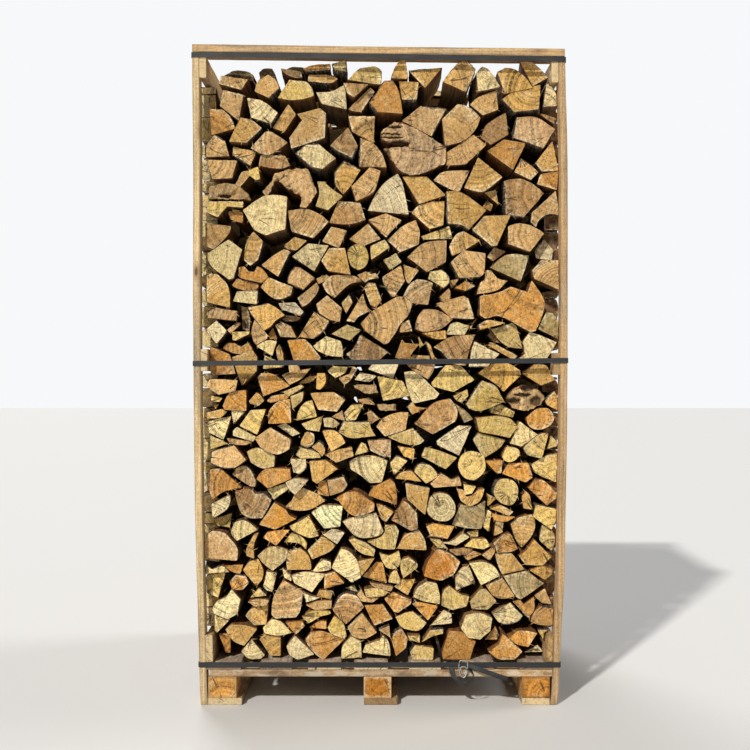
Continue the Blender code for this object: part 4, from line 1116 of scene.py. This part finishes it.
def gridded(points, spacing):
    """A flat end cut into a grid: its rim's points in order, its inner points, and its faces by number."""
    build = bmesh.new()
    build.faces.new([build.verts.new((point.x, point.y, 0)) for point in points])
    for axis in (0, 1):
        normal = Vector((1 - axis, axis, 0))
        low = min(point[axis] for point in points)
        high = max(point[axis] for point in points)
        for level in np.arange(low + spacing, high - spacing * 0.3, spacing):
            cut_across(build, normal * level, normal, 0.00003)
    rim = {}
    for edge in build.edges:
        if edge.is_boundary:
            loop = edge.link_loops[0]
            rim[loop.vert] = loop.link_loop_next.vert
    start = next(iter(rim))
    order = [start]
    while rim[order[-1]] is not start:
        order.append(rim[order[-1]])
    on_rim = set(order)
    order += [vertex for vertex in build.verts if vertex not in on_rim]
    number = {vertex: i for i, vertex in enumerate(order)}
    faces = [[number[vertex] for vertex in face.verts] for face in build.faces]
    places = [Vector((vertex.co.x, vertex.co.y)) for vertex in order]
    rim_count = len(on_rim)
    build.free()
    return places[:rim_count], places[rim_count:], faces


def read_hollows():
    """The hollows as (centre, radii, depth)."""
    hollows = []
    for line in HOLLOWS.strip().splitlines():
        px, py, across, up, depth = numbers(line)
        radii = Vector((across, up)) * METRES_PER_PIXEL
        hollows.append((plan_point(px, py), radii, depth / 1000))
    return hollows


HOLLOW_PLACES = read_hollows()


def decay_at(point, seed):
    """How deep a rotten end is at a point, and how decayed it looks there."""
    spot = Vector((point.x, seed, point.y))
    warp = Vector((noise.noise(spot * 110), noise.noise(spot * 110 + Vector((5, 0, 0))))) * 0.0035
    pits = noise.noise(spot * 48)
    depth = max(pits - 0.10, 0.0) * 0.016 + noise.noise(spot * 160) * 0.0012
    decay = max(pits - 0.16, 0.0) * 1.1
    for centre, radii, deep in HOLLOW_PLACES:
        away = point + warp - centre
        reach = (away.x / radii.x) ** 2 + (away.y / radii.y) ** 2
        share = min(max((1.6 - reach) / 1.1, 0.0), 1.0)
        depth = max(depth, deep * share) if share > 0 else depth
        decay = max(decay, share)
    return depth, decay


class Log:
    """One log on its way into a mesh: its detailed near end, its sides in stations, and its far end.

    It lies from depth to far. Facing is -1 where its near end faces forwards, and 1 where it faces back.
    """

    def __init__(
        self, wood, outline, depth, far, kind, chance, step, stations, facing=-1, roughness=1.0, detailed=True
    ):
        grown = moved_outline(outline, OUTLINE_GROWTH)
        self.wood = wood
        self.shape = LogShape(grown, kind, chance)
        self.depth = depth
        self.length = far - depth
        self.facing = facing
        self.roughness = roughness
        self.rotten = detailed and kind == "rotten"
        self.cut_end(grown, ROTTEN_STEP if self.rotten else step, chance, detailed)
        self.bend_and_lean(chance, detailed)
        self.sap = [self.shape.sap if is_outer else 0.0 for is_outer in self.outer]
        self.bark = [is_outer and self.shape.has_bark for is_outer in self.outer]
        rings = [self.add_ring(number, along) for number, along in enumerate(stations)]
        self.add_sides(rings)
        if detailed:
            self.tear_fibres()
        if self.grid:
            self.add_end_in_grid(rings[0])
        elif detailed:
            self.add_end_in_rings(rings[0])
        else:
            self.add_face([rings[0] + i for i in range(self.count)], CUT)
        self.add_face([rings[-1] + i for i in reversed(range(self.count))], CUT)

    def cut_end(self, grown, step, chance, detailed):
        """Draws the end's fine outline, with a check in some, and a grid inside those that need one."""
        shape = self.shape
        self.crack = None
        self.grid = None
        self.points, self.outer = refined(grown, shape, step)
        if self.rotten:
            self.points = ragged(self.points, shape.seed)
            shape.has_bark = False
        elif detailed and len(self.points) >= FEWEST_CHECKED_POINTS and chance.random() < CHECK_SHARE:
            self.crack = add_crack(self.points, self.outer, shape, chance)
        if detailed and (self.rotten or not is_star(self.points, shape.middle)):
            whole = self.points
            spacing = ROTTEN_GRID if self.rotten else BENT_GRID
            self.points, self.inner_points, self.grid = gridded(whole, spacing)
            self.outer = [
                self.outer[min(range(len(whole)), key=lambda i: (whole[i] - point).length)]
                for point in self.points
            ]
            self.crack = None
        self.count = len(self.points)
        self.edge_scale = 1.0 - END_CHAMFER * 0.5 / max((self.points[0] - shape.middle).length, 0.006)

    def bend_and_lean(self, chance, detailed):
        """Bends, slopes and tapers the log a little; those at the sides lean outwards more."""
        self.bend = Vector((chance.gauss(0, BEND), chance.gauss(0, BEND)))
        self.slope = Vector((chance.gauss(0, SLOPE_ACROSS), chance.gauss(0, SLOPE_UP)))
        self.outwards = 0.0
        if abs(self.shape.middle.x) > SIDE_LOGS_START:
            side = math.copysign(1.0, self.shape.middle.x)
            self.slope.x += side * chance.uniform(0.0, MOST_SIDE_LEAN)
            self.outwards = 0.0 if detailed else side * chance.uniform(0.0, MOST_SIDE_SHIFT)
        self.taper = chance.gauss(0, TAPER)

    def placed(self, point, along, scale, lean=0.0):
        y = -self.facing * (self.depth + along + lean)
        spot = self.shape.middle + (point - self.shape.middle) * scale
        spot += self.bend * math.sin(along / self.length * math.pi) + self.slope * (along / self.length)
        spot.x += self.outwards
        x, z = kept_in_room(spot.x, spot.y, bulge_allowed(y))
        return (x, y, z)

    def add_points(self, spots, sources, along, wears, roughs):
        places = [self.shape.grain(point, along) for point in sources]
        return self.wood.add_points(spots, places, self.shape.tone, wears, roughs, self.shape.seed)

    def add_face(self, corners, slot):
        self.wood.add_face(corners if self.facing < 0 else corners[::-1], slot)

    def add_ring(self, number, along):
        """Adds the outline at a station and returns the number of its first point."""
        along = min(along, self.length)
        scale = 1.0 + self.taper * along / self.length if number else self.edge_scale
        sources = list(self.points)
        if self.crack:
            middle, tip = self.crack
            sources[middle] = sources[middle].lerp(tip, max(0.0, 1.0 - along / CHECK_REACH))
        spots = []
        wears = []
        for point, sap in zip(sources, self.sap):
            lean = self.shape.lean(point) * LEAN_SHARES[min(number, 2)]
            decayed = 0.0
            if self.rotten and number < 2:
                deep, decayed = decay_at(point, self.shape.seed)
                lean += deep * DECAY_SHARES[number] - (END_CHAMFER if number else 0.0)
            spots.append(self.placed(point, along, scale, lean))
            wears.append((0.8 if number else 1.0, sap, decayed))
        swells = [RIM_SWELL * self.roughness] * self.count
        if number:
            swells = [(BARK_SWELL if bark else SPLIT_SWELL) * self.roughness for bark in self.bark]
        return self.add_points(spots, sources, along, wears, swells)

    def add_sides(self, rings):
        for ring, after in zip(rings, rings[1:]):
            for i, bark in enumerate(self.bark):
                j = (i + 1) % self.count
                self.add_face([ring + i, after + i, after + j, ring + j], BARK if bark else SPLIT)

    def tear_fibres(self):
        """Notes the fibres that stand out at the rim, for a piece of their own."""
        for _ in range(FIBRE_CHANCE.choice(FIBRES_ON_A_LOG)):
            i = FIBRE_CHANCE.randrange(self.count)
            point = self.points[i]
            along = (self.points[(i + 1) % self.count] - self.points[i - 1]).normalized()
            outward = Vector((along.y, -along.x))
            way = outward * FIBRE_CHANCE.uniform(0.3, 1.0) + along * FIBRE_CHANCE.uniform(-1.0, 1.0)
            spot = self.placed(point, FIBRE_SETBACK, self.edge_scale, self.shape.lean(point))
            if abs(spot[0]) < FIBRE_REACH and FIBRE_HEIGHTS[0] < spot[2] < FIBRE_HEIGHTS[1]:
                ahead = -self.facing * FIBRE_CHANCE.uniform(-0.4, 0.1)
                FIBRES.append((spot, (way.x, ahead, way.y), FIBRE_CHANCE.uniform(0.3, 1.0)))

    def add_inner(self, sources, wears, swell, deeps=None):
        """Adds points of the end inside its rim and returns the number of the first one."""
        spots = [
            self.placed(point, 0.0, 1.0, self.shape.lean(point) + deep)
            for point, deep in zip(sources, deeps or [0.0] * len(sources))
        ]
        return self.add_points(spots, sources, 0.0, wears, [swell] * len(sources))

    def add_end_in_grid(self, first):
        found = [decay_at(p, self.shape.seed) if self.rotten else (0.0, 0.0) for p in self.inner_points]
        wears = [(0.0, 0.0, decayed) for _, decayed in found]
        swell = ROTTEN_SWELL if self.rotten else BENT_SWELL
        start = self.add_inner(self.inner_points, wears, swell, [deep for deep, _ in found])
        for corners in self.grid:
            self.add_face([first + i if i < self.count else start + i - self.count for i in corners], CUT)

    def add_end_in_rings(self, first):
        middle = self.shape.middle
        rim = list(self.points)
        if self.crack:
            rim[self.crack[0]] = self.crack[1]
        rings = [first]
        for width, share, sap_share, swell in END_RINGS:
            sources = []
            for point in rim:
                towards = middle - point
                sources.append(point + towards.normalized() * min(width, towards.length * share))
            wears = [(0.0, sap * sap_share, 0.0) for sap in self.sap]
            rings.append(self.add_inner(sources, wears, swell))
        pole = self.add_inner([middle], [(0.0, 0.0, 0.0)], POLE_SWELL)
        for i in range(self.count):
            j = (i + 1) % self.count
            for ring, inner in zip(rings, rings[1:]):
                barked = ring == first and self.bark[i] and self.shape.thick_bark
                self.add_face([ring + i, ring + j, inner + j, inner + i], BARK if barked else CUT)
            self.add_face([rings[-1] + i, rings[-1] + j, pole], CUT)


def outermost(outlines):
    """The numbers of the outlines that are first met from the left, the right or the top."""
    found = set()

    def crossings(outline, level, axis):
        spots = []
        for a, b in sides_of(outline):
            if (a[axis] - level) * (b[axis] - level) < 0:
                share = (level - a[axis]) / (b[axis] - a[axis])
                spots.append(a[1 - axis] + (b[1 - axis] - a[1 - axis]) * share)
        return spots

    spans = [
        [(min(p[axis] for p in outline), max(p[axis] for p in outline)) for axis in (0, 1)]
        for outline in outlines
    ]
    for axis, low, high, ends in ((1, 0.14, 2.05, (min, max)), (0, -0.56, 0.56, (max,))):
        for level in np.arange(low, high, 0.006):
            met = []
            for number, outline in enumerate(outlines):
                if spans[number][axis][0] < level < spans[number][axis][1]:
                    met += [(spot, number) for spot in crossings(outline, level, axis)]
            for end in ends:
                if met:
                    found.add(end(met)[1])
    return found


def side_fillers(outlines, chance):
    """Outlines for the logs that lie deeper in the gaps between the pile and the posts.

    They start behind the front post, so they reach out past its inner face, as logs bulge between posts.
    """
    return [filler for _, side in SIDES for filler in fillers_at(side, outlines, chance)]


def fillers_at(side, outlines, chance):
    rows = []
    for z in np.arange(FLOOR_OF_ROOM + 0.004, PILE_TOP_AT_SIDES, 0.005):
        reach = post_reach(side, z)
        crossings = [
            side * (a.x + (b.x - a.x) * (z - a.y) / (b.y - a.y))
            for outline in outlines
            for a, b in sides_of(outline)
            if (a.y - z) * (b.y - z) < 0
        ]
        out = max(crossings, default=0.0)
        at_rail = any(low - 0.006 < z < high + 0.006 for low, high, _ in ROOM[side][2])
        rows.append((z, out, reach, not at_rail and reach - out > SMALLEST_FILLED_GAP[side]))
    fillers = []
    run = []
    tallest = chance.uniform(*FILLER_HEIGHTS)
    for row in rows + [(9.0, 0.0, 0.0, False)]:
        free = row[3]
        if free and (not run or row[0] - run[0][0] < tallest):
            run.append(row)
            continue
        if len(run) > 1:
            bulge = chance.uniform(*FILLER_BULGES)
            inner = [
                Vector((side * max(out + 0.0016, reach - FILLER_WIDTH), z)) for z, out, reach, _ in run
            ]
            middle = (run[0][0] + run[-1][0]) / 2
            half = max(run[-1][0] - middle, 0.004)
            outer = [
                Vector((side * (reach + bulge * (1 - 0.7 * abs((z - middle) / half) ** 2)), z))
                for z, _, reach, _ in run[::2] + run[-1:]
            ]
            fillers.append(counterclockwise(inner + outer[::-1]))
        run = [row] if free else []
        tallest = chance.uniform(*FILLER_HEIGHTS)
    return fillers


def varied(tone, chance):
    """A log's own version of a tone, in linear light."""
    value = 2.0 ** chance.gauss(0, 0.17)
    warmth = chance.gauss(0, 0.05)
    red, green, blue = linear(TONES[tone])
    return (
        min(red * value * (1 + warmth * 0.3), 0.95),
        min(green * value, 0.93),
        min(blue * value * (1 - warmth * 2.0), 0.9),
    )


def read_landmarks():
    """The log ends that stand out, as (point, tone)."""
    return [
        (plan_point(*numbers(pixel)), tone) for tone, text in LANDMARKS.items() for pixel in text.split(",")
    ]


def tone_of(outline, landmarks, chance):
    """The tone of the nearest landmark inside reach, or else one drawn from the pile's mix there."""
    middle = centre_of(outline)
    reach = LANDMARK_REACH * METRES_PER_PIXEL
    near = [mark for mark in landmarks if (mark[0] - middle).length < reach]
    if near:
        return min(near, key=lambda mark: (mark[0] - middle).length)[1]
    mix = UPPER_MIX if middle.y > MIX_HEIGHT else LOWER_MIX
    return chance.choices([tone for tone, _ in mix], [weight for _, weight in mix])[0]


class Row:
    """A row of logs, as joined meshes from the bottom of the pile up."""

    BANDS = ("bottom", "middle", "top")

    def __init__(self, name, node):
        self.node = node
        self.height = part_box(node)[1].z - FLOOR_OF_ROOM
        self.meshes = [WoodMesh(f"{name}_{band}", LOG_MATERIALS) for band in self.BANDS]

    def add(self, outline, *details, **more):
        """Adds a log to the mesh of the band that its middle lies in."""
        share = (centre_of(outline).y - FLOOR_OF_ROOM) / self.height
        band = min(int(share * len(self.BANDS)), len(self.BANDS) - 1)
        Log(self.meshes[band], outline, *details, **more)

    def finish(self):
        for mesh in self.meshes:
            mesh.finish("log_wood", [self.node])


def row_detail(is_outer):
    """The stations and the roughness of a log, which has more of both where its side can be seen."""
    return (FULL_STATIONS, OUTER_ROUGHNESS) if is_outer else (SHORT_STATIONS, 1.0)


def add_front_row(front, own, chance):
    """The log ends that the photograph shows. The largest logs are pieces of their own."""
    landmarks = read_landmarks()
    everything = [outline for outline, _ in front] + [outline for _, outline, _ in own]
    outer = outermost(everything)
    row = Row("front_logs", "front_log_row")
    for number, (outline, depth) in enumerate(front):
        kind = tone_of(outline, landmarks, chance)
        far = FRONT_FAR - chance.uniform(0.0, LENGTH_SPREAD)
        stations, roughness = row_detail(number in outer)
        row.add(outline, depth, far, kind, chance, FRONT_STEP, stations, roughness=roughness)
    for outline in side_fillers(everything, chance):
        depth = FRONT_NEAR + chance.uniform(*FILLER_SETBACKS)
        # The right-hand fillers are painted dark brown for the shade in their gaps.
        kind = "pale" if outline[0].x < 0 else "damp"
        row.add(
            outline, depth, FRONT_FAR, kind, chance, FILLER_STEP, FULL_STATIONS, roughness=FILLER_ROUGHNESS
        )
    row.finish()
    for name, outline, depth in own:
        mesh = WoodMesh(name + "_wood", LOG_MATERIALS)
        kind = tone_of(outline, landmarks, chance)
        far = FRONT_FAR - 0.004
        Log(mesh, outline, depth, far, kind, chance, OWN_STEP, FULL_STATIONS, roughness=OWN_ROUGHNESS)
        mesh.finish("log_wood", [name])


def add_back_row(plan, chance):
    """The front row's plan turned half round, so that its ends face backwards."""
    centre = plan_point(*HALF_TURN_PIXEL)
    turned = [
        ([Vector(kept_in_room(*(centre * 2 - point))) for point in outline], depth - FRONT_NEAR)
        for outline, depth in plan
    ]
    turned += [
        (outline, chance.uniform(*FILLER_SETBACKS))
        for outline in side_fillers([outline for outline, _ in turned], chance)
    ]
    outer = outermost([outline for outline, _ in turned])
    row = Row("back_logs", "back_log_row")
    for number, (outline, setback) in enumerate(turned):
        if doubled_area(outline) < SMALLEST_TURNED_END:
            continue
        stations, roughness = row_detail(number in outer)
        near = setback - BACK_NEAR
        far = -BACK_FAR - chance.uniform(0.0, LENGTH_SPREAD)
        kind = tone_of(outline, [], chance)
        row.add(outline, near, far, kind, chance, BACK_STEP, stations, facing=1, roughness=roughness)
    row.finish()


def add_middle_row(plan, chance):
    """The front row's plan mirrored; only its outermost logs can be seen."""
    mirrored = [
        [Vector(kept_in_room(-point.x, point.y, MIRRORED_BULGE)) for point in reversed(outline)]
        for outline, _ in plan
    ]
    mirrored += side_fillers(mirrored, chance)
    outer = outermost(mirrored)
    row = Row("middle_logs", "middle_log_row")
    for number, outline in enumerate(mirrored):
        if doubled_area(outline) < SMALLEST_TURNED_END:
            continue
        kind = tone_of(outline, [], chance)
        near = MIDDLE_NEAR + chance.uniform(0.0, MIDDLE_SPREAD)
        far = MIDDLE_FAR - chance.uniform(0.0, MIDDLE_SPREAD)
        shape = (BACK_STEP, FULL_STATIONS, -1, OUTER_ROUGHNESS)
        if number not in outer:
            outline = moved_outline(outline, HIDDEN_GROWTH)
            shape = (HIDDEN_STEP, PLAIN_STATIONS)
        row.add(outline, near, far, kind, chance, *shape, detailed=False)
    row.finish()


def add_logs():
    chance = random.Random(23)
    front = log_ends_of("front_log_row") + small_log_ends(chance)
    own = [(name, *min(log_ends_of(name), key=lambda end: end[1])) for name in OWN_LOGS]
    plan = front + [(outline, depth) for _, outline, depth in own]
    add_front_row(front, own, chance)
    add_back_row(plan, chance)
    add_middle_row(plan, chance)


def board_solid(node):
    """The node's own shape as a bmesh of whole faces."""
    build = bmesh.new()
    build.from_mesh(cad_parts[node].data)
    bmesh.ops.remove_doubles(build, verts=build.verts, dist=0.00002)
    bmesh.ops.dissolve_limit(build, angle_limit=math.radians(0.2), verts=build.verts, edges=build.edges)
    return build


def add_board(node, axis, tone_name, chance):
    """A sawn board in a node's shape: worn edges, a grid of points, and its grain's own place."""
    build = board_solid(node)
    low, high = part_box(node)
    sharp = [edge for edge in build.edges if edge.calc_face_angle(0) > math.radians(30)]
    bmesh.ops.bevel(build, geom=sharp, offset=WORN_EDGE, segments=1, affect="EDGES", profile=0.5)
    for direction in range(3):
        step = BOARD_STEP_ALONG if direction == axis else BOARD_STEP_ACROSS
        length = high[direction] - low[direction]
        pieces = max(1, round(length / step))
        normal = [float(way == direction) for way in range(3)]
        for cut in range(1, pieces):
            level = low[direction] + length * cut / pieces
            cut_across(build, [level * way for way in normal], normal, 0.00001)
    light = 2.0 ** chance.gauss(0, 0.06)
    tone = linear([value * light for value in BOARD_TONES[tone_name]])
    seed = chance.uniform(0, 400)
    pith = Vector((chance.uniform(-0.06, 0.06), -chance.uniform(0.02, 0.09)))
    thick, wide = sorted((way for way in range(3) if way != axis), key=lambda way: high[way] - low[way])
    middle = (low + high) / 2
    peeling = PEELING.get(tone_name, LEAST_PEELING)
    wood = WoodMesh(node + "_wood", BOARD_MATERIALS)
    build.verts.index_update()
    places = []
    worn = []
    for vertex in build.verts:
        at = vertex.co
        places.append((at[wide] - middle[wide] - pith[0], at[axis], at[thick] - middle[thick] - pith[1]))
        worn.append(any(edge.calc_face_angle(0) > math.radians(20) for edge in vertex.link_edges))
    wears = [(float(is_worn), 0.0, peeling) for is_worn in worn]
    swells = [WORN_SWELL if is_worn else SAWN_SWELL for is_worn in worn]
    wood.add_points([tuple(vertex.co) for vertex in build.verts], places, tone, wears, swells, seed)
    for face in build.faces:
        across = abs(face.normal[axis]) > 0.7
        wood.add_face([vertex.index for vertex in face.verts], BOARD_END if across else BOARD_SIDE)
    build.free()
    slot = "pallet_wood" if node.startswith(PALLET_NAMES) else "frame_wood"
    piece = wood.finish(slot, [node], lumps_across=70.0, lumps_along=9.0, fine_share=0.7)
    for vertex in piece.data.vertices:
        vertex.co = [min(max(vertex.co[i], low[i]), high[i]) for i in range(3)]


def add_boards():
    chance = random.Random(5)
    for start, axis, tone in BOARDS:
        for node in sorted(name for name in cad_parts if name.startswith(start)):
            add_board(node, axis, tone, chance)


def add_scattered(name, tree, points, facings, stretches):
    """A piece of one small shape on each point."""
    mesh = bpy.data.meshes.new(name)
    mesh.from_pydata(points, [], [])
    set_attribute(mesh, "facing", "FLOAT_VECTOR", facings)
    set_attribute(mesh, "stretch", "FLOAT", stretches)
    piece = new_object(name, mesh)
    apply_tree(piece, tree)
    hand_over(piece, [])


def between(low, high, share):
    return low + (high - low) * share


def add_nails():
    """Nail heads in the posts at each rail, in the top boards and along the deck boards."""
    chance = random.Random(3)
    nails = []
    for word, side in SIDES:
        for rail in RAILS:
            low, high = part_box(f"{rail}_rail_{word}")
            for post in ("front", "back"):
                post_low, post_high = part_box(f"{post}_post_{word}")
                for share in (0.3, 0.7):
                    z = between(low.z, high.z, share) + chance.uniform(-0.004, 0.004)
                    x = post_reach(side, z) + POST_THICKNESS
                    y = between(post_low.y, post_high.y, chance.uniform(0.35, 0.65))
                    nails.append((side * x, y, z, (side, 0, 0)))
    for board in ("front", "back"):
        low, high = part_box(f"top_board_{board}")
        outside, inside = (low.y, high.y) if board == "front" else (high.y, low.y)
        for x, sink in ((low.x + 0.011, 0.0012), (high.x - 0.011, 0.0162)):
            for share in (0.2, 0.4):
                nails.append((x, between(outside, inside, share), high.z - sink, (0, 0, 1)))
    for number in range(1, 8):
        low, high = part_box(f"deck_board_{number}")
        for row in ("front", "middle", "back"):
            board_low, board_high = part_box(f"cross_board_{row}")
            for share in (0.22, 0.78):
                x = between(low.x, high.x, share) + chance.uniform(-0.006, 0.006)
                y = (board_low.y + board_high.y) / 2 + chance.uniform(-0.02, 0.02)
                nails.append((x, y, high.z + 0.0003, (0, 0, 1)))
    points = [nail[:3] for nail in nails]
    add_scattered("nails", NAIL_HEADS, points, [nail[3] for nail in nails], [1.0] * len(nails))


def add_torn_fibres():
    """Fibres that the saw tore out at the rims of the log ends."""
    points, facings, stretches = zip(*FIBRES)
    add_scattered("torn_fibres", TORN_FIBRES, points, facings, stretches)


def smooth_path(corners, steps, closed=False):
    """A smooth curve through its corners, as points."""
    count = len(corners)
    path = []
    for i in range(count if closed else count - 1):
        picks = [i - 1, i, i + 1, i + 2]
        if closed:
            a, b, c, d = (corners[pick % count] for pick in picks)
        else:
            a, b, c, d = (corners[min(max(pick, 0), count - 1)] for pick in picks)
        for step in range(steps):
            t = step / steps
            path.append(
                b + (c - a) * (t / 2) + (a * 2 - b * 5 + c * 4 - d) * (t**2 / 2)
                + (b * 3 - a - c * 3 + d) * (t**3 / 2)
            )
    if not closed:
        path.append(corners[-1].copy())
    return path


def swept_mesh(name, path, sections, closed):
    """A mesh whose sections, one at each point of a path, are lists of points round it."""
    count = len(sections[0])
    points = [point for section in sections for point in section]
    faces = []
    for i in range(len(path) if closed else len(path) - 1):
        here = i * count
        after = (i + 1) % len(path) * count
        faces += [
            (here + j, here + (j + 1) % count, after + (j + 1) % count, after + j) for j in range(count)
        ]
    if not closed:
        faces.append(tuple(reversed(range(count))))
        faces.append(tuple(range(len(points) - count, len(points))))
    mesh = bpy.data.meshes.new(name)
    mesh.from_pydata(points, [], faces)
    build = bmesh.new()
    build.from_mesh(mesh)
    bmesh.ops.recalc_face_normals(build, faces=build.faces)
    build.to_mesh(mesh)
    build.free()
    return mesh


def add_fitting(name, mesh, material, nodes):
    mesh.materials.append(material)
    smooth(mesh, 45)
    hand_over(new_object(name, mesh), nodes)


def strap_point(px, py, proud):
    """A pixel at the lowest strap as a point that stands proud of the strap's front by some millimetres."""
    x, z = pixel_place(px, py)
    return Vector((x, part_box("strap_bottom")[0].y - proud / 1000, z))


def frame_at(before, after):
    """The way along a path, and the two ways across it, flat in the picture and into it."""
    along = (after - before).normalized()
    flat = along.cross(Vector((0, 1, 0))).normalized()
    return along, flat, along.cross(flat)


def add_wire(name, corners, nodes):
    """A closed ring of wire through its corners: pixel x and y, and millimetres proud."""
    path = smooth_path([strap_point(*corner) for corner in corners], 6, closed=True)
    sections = []
    for i, point in enumerate(path):
        _, flat, deep = frame_at(path[i - 1], path[(i + 1) % len(path)])
        sections.append([
            point + (flat * math.cos(turn) + deep * math.sin(turn)) * WIRE_RADIUS
            for turn in (math.tau * step / 10 for step in range(10))
        ])
    add_fitting(name, swept_mesh(name, path, sections, closed=True), WIRE, nodes)


def add_ribbon(name, corners, nodes):
    """A strip of strap through its corners: pixel x and y, millimetres proud, and how it is turned."""
    path = smooth_path([strap_point(*corner[:3]) for corner in corners], 8)
    turns = smooth_path([Vector((corner[3], 0, 0)) for corner in corners], 8)
    sections = []
    for i, point in enumerate(path):
        along, flat, deep = frame_at(path[max(i - 1, 0)], path[min(i + 1, len(path) - 1)])
        turn = math.radians(turns[i].x)
        wide = flat * math.cos(turn) + deep * math.sin(turn)
        thick = along.cross(wide) * STRAP_THICKNESS / 2
        half = wide * STRAP_WIDTH / 2
        sections.append([point + half * across + thick * up for across, up in STRAP_SECTION])
    add_fitting(name, swept_mesh(name, path, sections, closed=False), STRAP, nodes)


def add_strap_fittings():
    """The bent wire buckle on the lowest strap, the strap's curled loop and its loose end."""
    add_wire("buckle_frame", (
        (459.6, 660.8, 3.6), (463.0, 660.0, 3.6), (466.6, 661.0, 3.6), (467.4, 665.0, 4.0),
        (467.0, 669.5, 4.6), (466.2, 673.0, 7.0), (463.4, 676.6, 9.0), (460.6, 674.4, 8.0),
        (459.2, 670.0, 5.2), (458.8, 665.0, 4.0),
    ), ["strap_buckle"])
    add_wire("buckle_tongue", (
        (460.8, 666.6, 6.6), (463.2, 666.0, 6.6), (465.6, 666.6, 6.6), (466.0, 669.4, 6.6),
        (464.6, 672.2, 8.6), (462.0, 671.8, 8.6), (460.6, 669.4, 6.6),
    ), [])
    add_ribbon("strap_loop", (
        (451.0, 666.5, 2.0, 15), (451.6, 671.5, 4.5, 20), (455.0, 677.6, 8.0, 22), (460.5, 681.6, 10.0, 30),
        (466.8, 682.6, 11.0, 45), (471.6, 679.0, 11.0, 66), (472.8, 674.0, 9.0, 76), (470.6, 669.6, 5.0, 70),
        (466.5, 667.0, 2.6, 40),
    ), ["strap_tail_loop"])
    add_ribbon("strap_end", (
        (464.0, 664.8, 2.2, 0), (470.0, 665.4, 4.6, -6), (479.0, 668.4, 9.0, -14), (490.0, 672.2, 11.5, -10),
        (500.0, 675.4, 13.0, 0), (507.0, 677.4, 12.0, 8),
    ), ["strap_tail_end"])
    for name in ("strap_bottom", "strap_middle", "strap_top"):
        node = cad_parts[name]
        node.data.materials.clear()
        node.data.materials.append(STRAP)


def add_floor():
    """Pale ground all round, just below the skid boards."""
    floor_graph = new_surface("pale_floor")
    reach = 30.0
    mesh = bpy.data.meshes.new("floor")
    places = [(x * reach, y * reach, -0.0005) for x, y in ((-1, -1), (1, -1), (1, 1), (-1, 1))]
    mesh.from_pydata(places, [], [(0, 1, 2, 3)])
    mesh.materials.append(finished(floor_graph, (0.66, 0.66, 0.66, 1.0), 0.9))
    floor = new_object("floor", mesh)


def add_light(name, energy, colour, direction, angle):
    """A sun-like light that shines along a direction."""
    data = bpy.data.lights.new(name, "SUN")
    data.energy = energy
    data.color = colour
    data.angle = math.radians(angle)
    light = new_object(name, data)
    way = Vector(direction).normalized()
    light.location = Vector((0, 0, 1.0)) - way * 6.0
    light.rotation_euler = way.to_track_quat("-Z", "Y").to_euler()


def add_lights():
    """A sun-like key from the upper left in front, and a white room that fills its shadows."""
    add_light("key_light", 3.0, (1.0, 0.965, 0.90), (22, 40, -36.5), 2.5)
    add_light("right_fill", 1.1, (1.0, 0.99, 0.97), (-60, -16, -34), 24)
    add_light("back_fill", 1.7, (1.0, 0.99, 0.97), (18, -56, -34), 24)
    world = bpy.data.worlds.new("studio")
    world.use_nodes = True
    graph = Graph(world.node_tree)
    seen = graph.node("ShaderNodeLightPath", {}, {}, "Is Camera Ray")
    strength = seen * (BACKDROP_STRENGTH - FILL_STRENGTH) + FILL_STRENGTH
    room = graph.node("ShaderNodeBackground", {}, {"Color": (0.98, 0.99, 1.0, 1.0), "Strength": strength})
    graph.node("ShaderNodeOutputWorld", {}, {"Surface": room})
    bpy.context.scene.world = world
    bpy.context.scene.view_settings.view_transform = "Standard"


def add_camera():
    """A level camera opposite the eye's pixel, as far off as the photograph's perspective says."""
    data = bpy.data.cameras.new("camera")
    data.lens = SENSOR_WIDTH * EYE_DISTANCE / (PIXELS_ACROSS * METRES_PER_PIXEL)
    camera = new_object("camera", data)
    x, z = pixel_place(*EYE_PIXEL)
    camera.location = (x, FRONT - EYE_DISTANCE, z)
    camera.rotation_euler = (math.radians(90), 0, 0)
    bpy.context.scene.camera = camera


add_logs()
add_torn_fibres()
add_boards()
add_nails()
add_strap_fittings()
add_floor()
add_lights()
add_camera()
